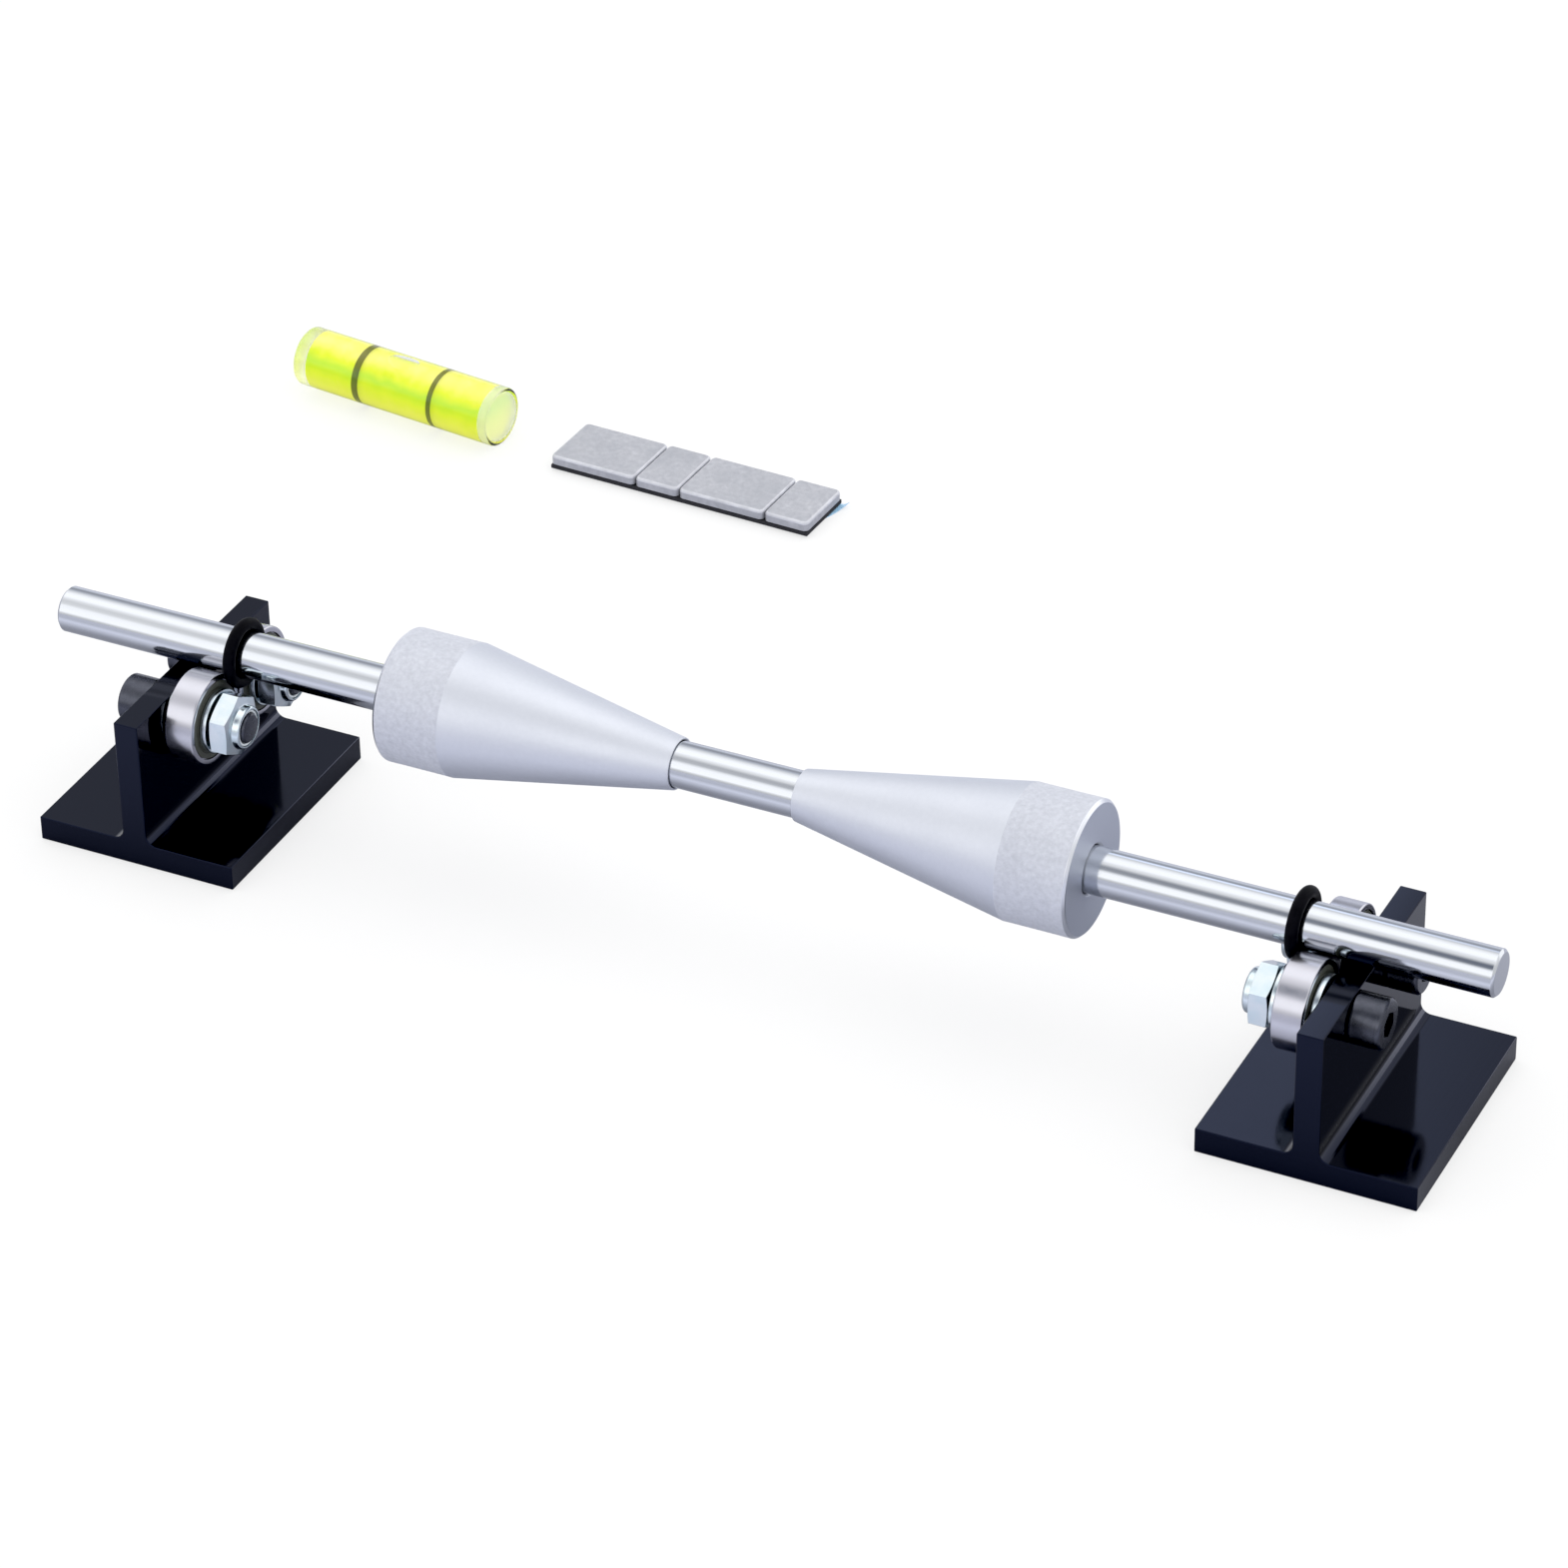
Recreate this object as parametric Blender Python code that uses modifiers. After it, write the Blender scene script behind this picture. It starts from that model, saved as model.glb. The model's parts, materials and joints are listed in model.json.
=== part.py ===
# Motorcycle wheel balancer.
#
# A ground steel shaft rolls on four sealed ball bearings. Two bearings sit side by side on each of
# two short inverted-T stands, so that the shaft lies in the valley between their outer races. Two
# sliding cones clamp the wheel's hub on the shaft, and a rubber ring beside each bearing pair keeps
# the shaft from wandering. A level vial and a strip of stick-on weights come with it.
#
# Metres, +Z up. X runs along the shaft, and the origin is the middle of the left stand's foot.

import bpy
import bmesh
from math import acos, cos, pi, radians, sin, sqrt
from mathutils import Matrix, Vector

# Gaps
seat_gap = 0.0003            # between pieces that rest on, or are clamped to, each other
bolt_fit = 0.0002            # round a bolt, at its radius
cone_fit = 0.0002            # round the shaft in a cone's bore, at its radius
overrun = 0.0010             # how far every cutter runs past the face that it cuts

# Stands
stand_spacing = 0.3203       # between the two webs' middles
stand_depth = 0.0670         # across the shaft
base_width = 0.0566          # along the shaft
base_thickness = 0.0068
web_thickness = 0.0068
web_fillet = 0.0028
edge_break = 0.0003
web_clearance = 0.0006       # from the web's top to the shaft's underside
bolt_height = 0.0353         # of the bearing bolts' axes above the bench

# Shaft
shaft_diameter = 0.0120
shaft_left_overhang = 0.0362   # past the left web's middle
shaft_right_overhang = 0.0346
shaft_chamfer = 0.0007

# Cones
cone_diameter = 0.0348
cone_length = 0.0775
grip_band_length = 0.0187
cone_rim_chamfer = 0.0008
cone_tip_wall = 0.0005
cone_gap = 0.0335            # bare shaft between the two tips
cone_pair_shift = -0.0037    # of that gap's middle from the middle between the stands
cone_mouth_chamfer = 0.0006

# Set screws
set_screw_diameter = 0.0060
set_screw_recess = 0.0008    # below the cone's surface
set_screw_chamfer = 0.0006
set_screw_socket = 0.0030    # across flats
set_screw_socket_depth = 0.0030

# Bearings
bearing_outer_diameter = 0.0240
bearing_width = 0.0080
bearing_side_gap = 0.0008    # between the two bearings of a stand
bearing_chamfer = 0.0005
ball_count = 7
ball_share = 0.557           # of the room between the bore and the outside, as are the next three
land_share = 0.215           # from the ball circle to each race's land
seal_step_share = 0.101      # how far the seal's seat is cut into the outer race
cage_thickness_share = 0.127
raceway_clearance = 0.0004   # round a ball, at its radius
cage_width_share = 0.41      # of a ball's diameter
seal_thickness = 0.0005
seal_set_back = 0.0002

# Bolts, washers and nuts
bolt_diameter = 0.0078
bolt_reach = 0.0005          # of the bolt's end past the nut
bolt_chamfer = 0.0007
head_diameter = 0.0130
head_height = 0.0080
head_chamfer = 0.0006
head_socket = 0.0060         # across flats
head_socket_depth = 0.0040
washer_thickness = 0.0016
washer_ring_gap = 0.0005     # from a washer's rim to the rubber ring beside it
nut_across_flats = 0.0130
nut_height = 0.0077
nut_hex_height = 0.0056
nut_chamfer = 0.0009
nut_collar_diameter = 0.0114
nut_collar_wall = 0.0007
nut_insert_lip = 0.0003      # of the nut's collar past the nylon insert

# Rubber rings on the shaft
ring_section = 0.0030
left_ring_gap = 0.0007       # from the bearing's face
right_ring_gap = 0.0003

# Level vial
vial_length = 0.0671
vial_diameter = 0.0172
vial_wall = 0.0013
vial_end_wall = 0.0040
vial_plug_length = 0.0030
vial_bubble_length = 0.0150
vial_bubble_depth = 0.0026
vial_middle = (-0.0476, 0.1967)
vial_heading = radians(-7.35)

# Stick-on weights
strip_depth = 0.0204
long_weight = 0.0267
short_weight = 0.0136
weight_height = 0.0028
weight_round = 0.0007
weight_gap = 0.0004          # between neighbours
tape_thickness = 0.0012
backing_thickness = 0.0002
backing_tab = 0.0024         # of the backing past the last weight
strip_middle = (0.0463, 0.1935)
strip_heading = radians(-2.73)

# Facets
large_facets = 32
race_facets = 22
nut_facets = 18
small_facets = 16
ring_section_facets = 7
fillet_steps = 5

# Worked out from the sizes above
shaft_radius = shaft_diameter / 2
bearing_radius = bearing_outer_diameter / 2
washer_radius = bearing_radius - ring_section - washer_ring_gap
bearing_bore = bolt_diameter + 2 * bolt_fit
bearing_pitch = bearing_outer_diameter + bearing_side_gap
axis_distance = shaft_radius + bearing_radius + seat_gap
shaft_height = bolt_height + sqrt(axis_distance ** 2 - (bearing_pitch / 2) ** 2)
stand_height = shaft_height - shaft_radius - web_clearance
shaft_length = stand_spacing + shaft_left_overhang + shaft_right_overhang
cone_bore_radius = shaft_radius + cone_fit
cone_tip_radius = cone_bore_radius + cone_tip_wall
ball_circle_radius = (bearing_bore + bearing_outer_diameter) / 4
race_room = bearing_radius - bearing_bore / 2
ball_radius = race_room * ball_share / 2
raceway_radius = ball_radius + raceway_clearance
land_offset = race_room * land_share
cage_thickness = race_room * cage_thickness_share
cage_width = 2 * ball_radius * cage_width_share
seal_seat_depth = seal_set_back + seal_thickness + seat_gap
seal_seat_radius = ball_circle_radius + land_offset + race_room * seal_step_share

# The stack on each bolt, counted from the web's middle towards the cones
spacer_start = web_thickness / 2 + seat_gap
bearing_start = spacer_start + washer_thickness + seat_gap
washer_start = bearing_start + bearing_width + seat_gap
nut_start = washer_start + washer_thickness + seat_gap
head_seat = -(web_thickness / 2 + seat_gap)
bolt_length = nut_start + nut_height + bolt_reach - head_seat


# Scene helpers

def clear_scene():
    for obj in list(bpy.data.objects):
        bpy.data.objects.remove(obj, do_unlink=True)


def new_collection(name):
    collection = bpy.data.collections.new(name)
    bpy.context.scene.collection.children.link(collection)
    return collection


def finish(name, color, metallic, roughness):
    """A plain Principled material."""
    material = bpy.data.materials.new(name)
    material.use_nodes = True
    shader = material.node_tree.nodes["Principled BSDF"]
    shader.inputs["Base Color"].default_value = (*color, 1)
    shader.inputs["Metallic"].default_value = metallic
    shader.inputs["Roughness"].default_value = roughness
    return material


def add_object(name, mesh, collection):
    obj = bpy.data.objects.new(name, mesh)
    collection.objects.link(obj)
    return obj


def settle(obj):
    """Turns an object's modifiers into its mesh."""
    depsgraph = bpy.context.evaluated_depsgraph_get()
    mesh = bpy.data.meshes.new_from_object(obj.evaluated_get(depsgraph))
    obj.modifiers.clear()
    obj.data = mesh
    return obj


def shade_round(obj):
    obj.data.shade_smooth()
    obj.data.set_sharp_from_angle(angle=radians(32))


def as_cutter(obj):
    obj.hide_render = True
    obj.display_type = "WIRE"
    return obj


def cut(obj, cutter, operation="DIFFERENCE"):
    boolean = obj.modifiers.new(cutter.name, "BOOLEAN")
    boolean.object = cutter
    boolean.operation = operation
    boolean.solver = "EXACT"


# Shape helpers

def turned(name, outline, facets, collection, ring=False):
    """Turns an outline of (radius, height) points about Z. The points run down the outer side."""
    mesh = bpy.data.meshes.new(name)
    shape = bmesh.new()
    points = [shape.verts.new((radius, 0, height)) for radius, height in outline]
    for first, second in zip(points, points[1:]):
        shape.edges.new((first, second))
    if ring:
        shape.edges.new((points[-1], points[0]))
    shape.to_mesh(mesh)
    shape.free()
    obj = add_object(name, mesh, collection)
    screw = obj.modifiers.new("turn", "SCREW")
    screw.axis = "Z"
    screw.angle = 2 * pi
    screw.steps = facets
    screw.render_steps = facets
    screw.use_merge_vertices = True
    screw.merge_threshold = 0.00001
    settle(obj)
    shade_round(obj)
    return obj


def prism(name, sides, across_flats, length, collection):
    """An upright prism on the plane Z = 0, with a flat facing +X."""
    mesh = bpy.data.meshes.new(name)
    shape = bmesh.new()
    corner_radius = across_flats / 2 / cos(pi / sides)
    middle = Matrix.Translation((0, 0, length / 2)) @ Matrix.Rotation(pi / sides, 4, "Z")
    bmesh.ops.create_cone(shape, cap_ends=True, segments=sides, radius1=corner_radius,
                          radius2=corner_radius, depth=length, matrix=middle)
    shape.to_mesh(mesh)
    shape.free()
    return add_object(name, mesh, collection)


def block(name, size, collection, rounding=0, steps=1):
    """A box that stands on the plane Z = 0, with rounded edges if a rounding is given."""
    mesh = bpy.data.meshes.new(name)
    shape = bmesh.new()
    place = Matrix.Translation((0, 0, size[2] / 2)) @ Matrix.Diagonal((*size, 1))
    bmesh.ops.create_cube(shape, size=1, matrix=place)
    shape.to_mesh(mesh)
    shape.free()
    obj = add_object(name, mesh, collection)
    if rounding:
        bevel = obj.modifiers.new("round", "BEVEL")
        bevel.width = rounding
        bevel.segments = steps
    return obj


def arc(centre, radius, start, end, steps):
    """Points of an arc, both ends included, as (across, up) pairs."""
    angles = [start + (end - start) * step / steps for step in range(steps + 1)]
    return [(centre[0] + radius * cos(angle), centre[1] + radius * sin(angle)) for angle in angles]


# Stands

def stand_outline():
    """The inverted T, seen along the extrusion, with a fillet where the web meets the foot."""
    half_web = web_thickness / 2
    half_base = base_width / 2
    right = [(half_base, 0), (half_base, base_thickness)]
    corner = (half_web + web_fillet, base_thickness + web_fillet)
    right += arc(corner, web_fillet, -pi / 2, -pi, fillet_steps)
    right += [(half_web, stand_height)]
    left = [(-across, up) for across, up in reversed(right)]
    return right + left


def make_stand(name, place, material, parts, cutters):
    """Extrudes the T across the shaft and drills the web for the two bearing bolts."""
    curve = bpy.data.curves.new(name, "CURVE")
    curve.dimensions = "2D"
    curve.fill_mode = "BOTH"
    curve.extrude = stand_depth / 2
    outline = stand_outline()
    spline = curve.splines.new("POLY")
    spline.points.add(len(outline) - 1)
    for point, (across, up) in zip(spline.points, outline):
        point.co = (across, up, 0, 1)
    spline.use_cyclic_u = True
    sketch = add_object(name + "_sketch", curve, parts)
    sketch.rotation_euler = (pi / 2, 0, 0)
    sketch.location = place
    bpy.context.view_layer.update()

    depsgraph = bpy.context.evaluated_depsgraph_get()
    mesh = bpy.data.meshes.new_from_object(sketch.evaluated_get(depsgraph))
    shape = bmesh.new()
    shape.from_mesh(mesh)
    bmesh.ops.remove_doubles(shape, verts=shape.verts, dist=0.00001)
    bmesh.ops.dissolve_limit(shape, angle_limit=radians(1), verts=shape.verts, edges=shape.edges)
    shape.to_mesh(mesh)
    shape.free()
    stand = add_object(name, mesh, parts)
    stand.matrix_world = sketch.matrix_world
    bpy.data.objects.remove(sketch, do_unlink=True)

    bevel = stand.modifiers.new("edge break", "BEVEL")
    bevel.width = edge_break
    bevel.segments = 1
    bevel.limit_method = "ANGLE"
    bevel.angle_limit = radians(40)
    for side, label in ((-1, "near"), (1, "far")):
        radius = bearing_bore / 2
        reach = web_thickness / 2 + overrun
        drill = turned(f"{name}_{label}_drill",
                       [(0, reach), (radius, reach), (radius, -reach), (0, -reach)],
                       small_facets, cutters)
        drill.rotation_euler = (0, pi / 2, 0)
        drill.location = Vector(place) + Vector((0, side * bearing_pitch / 2, bolt_height))
        cut(stand, as_cutter(drill))
    stand.data.materials.append(material)
    return stand


# Shaft and what slides on it

def make_shaft(material, parts):
    inner = shaft_radius - shaft_chamfer
    outline = [(0, shaft_length), (inner, shaft_length),
               (shaft_radius, shaft_length - shaft_chamfer), (shaft_radius, shaft_chamfer),
               (inner, 0), (0, 0)]
    shaft = turned("balancing_shaft", outline, large_facets, parts)
    shaft.rotation_euler = (0, pi / 2, 0)
    shaft.location = (-shaft_left_overhang, 0, shaft_height)
    shaft.data.materials.append(material)
    return shaft


def cone_outline():
    """From the broad end at height 0 to the tip, as a closed loop round the bore."""
    rim = cone_diameter / 2
    return [(cone_tip_radius, cone_length), (rim, grip_band_length), (rim, cone_rim_chamfer),
            (rim - cone_rim_chamfer, 0), (cone_bore_radius + cone_mouth_chamfer, 0),
            (cone_bore_radius, cone_mouth_chamfer), (cone_bore_radius, cone_length)]


def make_cone(side, broad_end, inward, materials, parts, cutters):
    """A cone on an empty at the middle of its broad end. Its set screw's heavy side hangs down."""
    hub = bpy.data.objects.new(side + "_cone_place", None)
    parts.objects.link(hub)
    hub.location = (broad_end, 0, shaft_height)
    hub.rotation_euler = (0, inward * pi / 2, 0)

    cone = turned(side + "_cone", cone_outline(), large_facets, parts, ring=True)
    cone.parent = hub
    cone.data.materials.append(materials["anodised"])

    hole_radius = set_screw_diameter / 2 + bolt_fit
    hole_end = cone_diameter / 2 + overrun
    drill = turned(side + "_cone_drill",
                   [(0, hole_end), (hole_radius, hole_end), (hole_radius, 0), (0, 0)],
                   small_facets, cutters)
    drill.parent = hub
    drill.location = (0, 0, grip_band_length / 2)
    drill.rotation_euler = (0, inward * pi / 2, 0)
    cut(cone, as_cutter(drill))

    screw = make_set_screw(side + "_set_screw", materials["black_steel"], parts)
    screw.parent = hub
    screw.location = (0, 0, grip_band_length / 2)
    screw.rotation_euler = (0, inward * pi / 2, 0)


def make_set_screw(name, material, parts):
    """A headless socket screw that stands out from the shaft's axis along its own Z."""
    radius = set_screw_diameter / 2
    low = shaft_radius + seat_gap
    high = cone_diameter / 2 - set_screw_recess
    outline = [(0, high), (radius - set_screw_chamfer, high), (radius, high - set_screw_chamfer),
               (radius, low + set_screw_chamfer), (radius - set_screw_chamfer, low), (0, low)]
    screw = turned(name, outline, small_facets, parts)
    socket = prism(name + "_socket", 6, set_screw_socket, set_screw_socket_depth + overrun, parts)
    socket.location = (0, 0, high - set_screw_socket_depth)
    cut(screw, socket)
    bpy.context.view_layer.update()
    settle(screw)
    bpy.data.objects.remove(socket, do_unlink=True)
    screw.data.materials.append(material)
    return screw


def make_shaft_ring(name, place, material, parts):
    bpy.ops.mesh.primitive_torus_add(major_radius=shaft_radius + seat_gap + ring_section / 2,
                                     minor_radius=ring_section / 2,
                                     major_segments=race_facets,
                                     minor_segments=ring_section_facets,
                                     location=(place, 0, shaft_height), rotation=(0, pi / 2, 0))
    ring = bpy.context.object
    for collection in list(ring.users_collection):
        collection.objects.unlink(ring)
    parts.objects.link(ring)
    ring.name = name
    ring.data.name = name
    ring.data.materials.append(material)
    shade_round(ring)
    return ring


# Bearings: the patterns are made once, about Z, and shared by the four stations

def raceway(side):
    """The groove's arc in a race, side +1 in the outer race and -1 in the inner one."""
    half_angle = acos(land_offset / raceway_radius)
    middle = 0 if side > 0 else pi
    return arc((ball_circle_radius, 0), raceway_radius, middle - half_angle, middle + half_angle, 3)


def outer_race(parts):
    half = bearing_width / 2
    land = ball_circle_radius + land_offset
    inner_side = [(seal_seat_radius, -half), (seal_seat_radius, -half + seal_seat_depth),
                  (land, -half + seal_seat_depth)]
    inner_side += raceway(1)
    inner_side += [(land, half - seal_seat_depth), (seal_seat_radius, half - seal_seat_depth),
                   (seal_seat_radius, half)]
    outer_side = [(bearing_radius - bearing_chamfer, half), (bearing_radius, half - bearing_chamfer),
                  (bearing_radius, -half + bearing_chamfer),
                  (bearing_radius - bearing_chamfer, -half)]
    return turned("outer_race_pattern", outer_side + inner_side, race_facets, parts, ring=True)


def inner_race(parts):
    half = bearing_width / 2
    land = ball_circle_radius - land_offset
    outer_side = [(land, half)]
    outer_side += raceway(-1)
    outer_side += [(land, -half)]
    bore_side = [(bearing_bore / 2, -half), (bearing_bore / 2, half)]
    return turned("inner_race_pattern", outer_side + bore_side, small_facets, parts, ring=True)


def ball_set(parts):
    """Seven balls joined by their cage, which runs round the ball circle."""
    inner = ball_circle_radius - cage_thickness / 2
    outer = ball_circle_radius + cage_thickness / 2
    half = cage_width / 2
    cage = turned("ball_set_pattern",
                  [(outer, half), (outer, -half), (inner, -half), (inner, half)],
                  2 * ball_count, parts, ring=True)
    balls = []
    for number in range(ball_count):
        turn = 2 * pi * number / ball_count
        place = Matrix.Rotation(turn, 4, "Z") @ Matrix.Translation((ball_circle_radius, 0, 0))
        mesh = bpy.data.meshes.new("ball")
        shape = bmesh.new()
        bmesh.ops.create_uvsphere(shape, u_segments=6, v_segments=5, radius=ball_radius,
                                  matrix=place)
        shape.to_mesh(mesh)
        shape.free()
        ball = add_object(f"ball_{number}", mesh, parts)
        cut(cage, ball, "UNION")
        balls.append(ball)
    bpy.context.view_layer.update()
    settle(cage)
    for ball in balls:
        bpy.data.objects.remove(ball, do_unlink=True)
    shade_round(cage)
    return cage


def seal(parts):
    """A flat rubber-faced ring, as thick as its seat leaves it."""
    outer = seal_seat_radius - seat_gap
    inner = ball_circle_radius - land_offset + seat_gap
    half = seal_thickness / 2
    return turned("seal_pattern", [(outer, half), (outer, -half), (inner, -half), (inner, half)],
                  race_facets, parts, ring=True)


def washer(parts):
    inner = bearing_bore / 2
    return turned("washer_pattern", [(washer_radius, washer_thickness), (washer_radius, 0),
                                     (inner, 0), (inner, washer_thickness)],
                  small_facets, parts, ring=True)


def cap_screw(parts):
    """The head lies below Z = 0 and the shank above it."""
    head = head_diameter / 2
    shank = bolt_diameter / 2
    outline = [(0, bolt_length), (shank - bolt_chamfer, bolt_length),
               (shank, bolt_length - bolt_chamfer), (shank, 0), (head, 0),
               (head, head_chamfer - head_height), (head - head_chamfer, -head_height),
               (0, -head_height)]
    screw = turned("cap_screw_pattern", outline, small_facets, parts)
    socket = prism("head_socket", 6, head_socket, head_socket_depth + overrun, parts)
    socket.location = (0, 0, -head_height - overrun)
    cut(screw, socket)
    bpy.context.view_layer.update()
    settle(screw)
    bpy.data.objects.remove(socket, do_unlink=True)
    shade_round(screw)
    return screw


def lock_nut(parts):
    """A hexagon with chamfered corners, and above it the thin collar that holds the insert."""
    corner = nut_across_flats / 2 / cos(pi / 6)
    bore = bearing_bore / 2
    collar = nut_collar_diameter / 2
    collar_bore = collar - nut_collar_wall
    nut = prism("lock_nut_pattern", 6, nut_across_flats, nut_height, parts)
    blank = turned("nut_blank",
                   [(collar - nut_chamfer / 2, nut_height), (collar, nut_height - nut_chamfer / 2),
                    (collar, nut_hex_height), (corner - nut_chamfer, nut_hex_height),
                    (corner, nut_hex_height - nut_chamfer / 2), (corner, nut_chamfer / 2),
                    (corner - nut_chamfer, 0), (bore, 0), (bore, nut_hex_height),
                    (collar_bore, nut_hex_height), (collar_bore, nut_height)],
                   nut_facets, parts, ring=True)
    cut(nut, blank, "INTERSECT")
    bpy.context.view_layer.update()
    settle(nut)
    bpy.data.objects.remove(blank, do_unlink=True)
    shade_round(nut)
    return nut


def nylon_insert(parts):
    outer = nut_collar_diameter / 2 - nut_collar_wall - bolt_fit
    inner = bearing_bore / 2
    low = nut_hex_height + seat_gap
    high = nut_height - nut_insert_lip
    return turned("nylon_insert_pattern", [(outer, high), (outer, low), (inner, low), (inner, high)],
                  small_facets, parts, ring=True)


def make_station(name, place, inward, patterns, parts):
    """One bearing on its bolt. The empty's Z points along the bolt, towards the cones."""
    axis = bpy.data.objects.new(name + "_bolt_axis", None)
    parts.objects.link(axis)
    axis.location = place
    axis.rotation_euler = (0, inward * pi / 2, 0)
    middle = bearing_start + bearing_width / 2
    seal_depth = bearing_width / 2 - seal_set_back - seal_thickness / 2
    stack = (
        ("cap_screw", head_seat, "cap_screw"),
        ("spacer_washer", spacer_start, "washer"),
        ("outer_race", middle, "outer_race"),
        ("inner_race", middle, "inner_race"),
        ("ball_set", middle, "ball_set"),
        ("web_side_seal", middle - seal_depth, "seal"),
        ("nut_side_seal", middle + seal_depth, "seal"),
        ("nut_washer", washer_start, "washer"),
        ("lock_nut", nut_start, "lock_nut"),
        ("nylon_insert", nut_start, "nylon_insert"),
    )
    for piece, height, pattern in stack:
        obj = add_object(f"{name}_{piece}", patterns[pattern].data, parts)
        obj.parent = axis
        obj.location = (0, 0, height)


# Level vial

def make_vial(materials, parts, cutters):
    """A tube lying on its side on the bench, closed by a wall at its left end and a plug at the right."""
    rest = bpy.data.objects.new("level_vial_place", None)
    parts.objects.link(rest)
    rest.rotation_euler = (0, pi / 2, vial_heading)
    along = Vector((cos(vial_heading), sin(vial_heading), 0))
    start = Vector((*vial_middle, 0)) - along * vial_length / 2
    radius = vial_diameter / 2
    rest.location = start + Vector((0, 0, radius))

    bore = radius - vial_wall
    filling = bore - seat_gap
    mouth = vial_length
    floor = vial_end_wall
    plug_start = vial_length - vial_plug_length
    tube = turned("level_vial_tube",
                  [(0, floor), (bore, floor), (bore, mouth), (radius, mouth), (radius, 0), (0, 0)],
                  race_facets, parts)
    plug = turned("level_vial_plug",
                  [(0, mouth), (filling, mouth), (filling, plug_start), (0, plug_start)],
                  race_facets, parts)
    low = floor + seat_gap
    high = plug_start - seat_gap
    liquid = turned("level_vial_liquid", [(0, high), (filling, high), (filling, low), (0, low)],
                    race_facets, parts)

    mesh = bpy.data.meshes.new("bubble")
    shape = bmesh.new()
    reach = vial_bubble_depth + overrun
    size = Matrix.Diagonal((reach, vial_bubble_depth * 2, vial_bubble_length / 2, 1))
    place = Matrix.Translation((-filling - overrun, 0, vial_length / 2))
    bmesh.ops.create_uvsphere(shape, u_segments=12, v_segments=8, radius=1, matrix=place @ size)
    shape.to_mesh(mesh)
    shape.free()
    bubble = add_object("bubble", mesh, cutters)
    bubble.parent = rest
    cut(liquid, as_cutter(bubble))

    for piece, material in ((tube, "clear"), (plug, "clear"), (liquid, "liquid")):
        piece.parent = rest
        piece.data.materials.append(materials[material])


# Stick-on weights

def make_weight_strip(materials, parts):
    """Four weights on one foam tape, which still has its backing paper."""
    strip = bpy.data.objects.new("weight_strip_place", None)
    parts.objects.link(strip)
    strip.location = (*strip_middle, 0)
    strip.rotation_euler = (0, 0, strip_heading)

    lengths = (long_weight, short_weight, long_weight, short_weight)
    total = sum(lengths) + weight_gap * (len(lengths) - 1)
    tape_height = backing_thickness + seat_gap
    weight_seat = tape_height + tape_thickness + seat_gap

    backing = block("weight_backing", (total + backing_tab, strip_depth, backing_thickness), parts)
    backing.location = (backing_tab / 2, 0, 0)
    backing.data.materials.append(materials["paper"])
    tape = block("weight_tape", (total, strip_depth, tape_thickness), parts)
    tape.location = (0, 0, tape_height)
    tape.data.materials.append(materials["foam"])
    pieces = [backing, tape]

    start = -total / 2
    for number, length in enumerate(lengths, 1):
        weight = block(f"wheel_weight_{number}", (length, strip_depth, weight_height), parts,
                       weight_round, 2)
        weight.location = (start + length / 2, 0, weight_seat)
        weight.data.materials.append(materials["zinc"])
        pieces.append(weight)
        start += length + weight_gap
    for piece in pieces:
        piece.parent = strip


# Assembly

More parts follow.
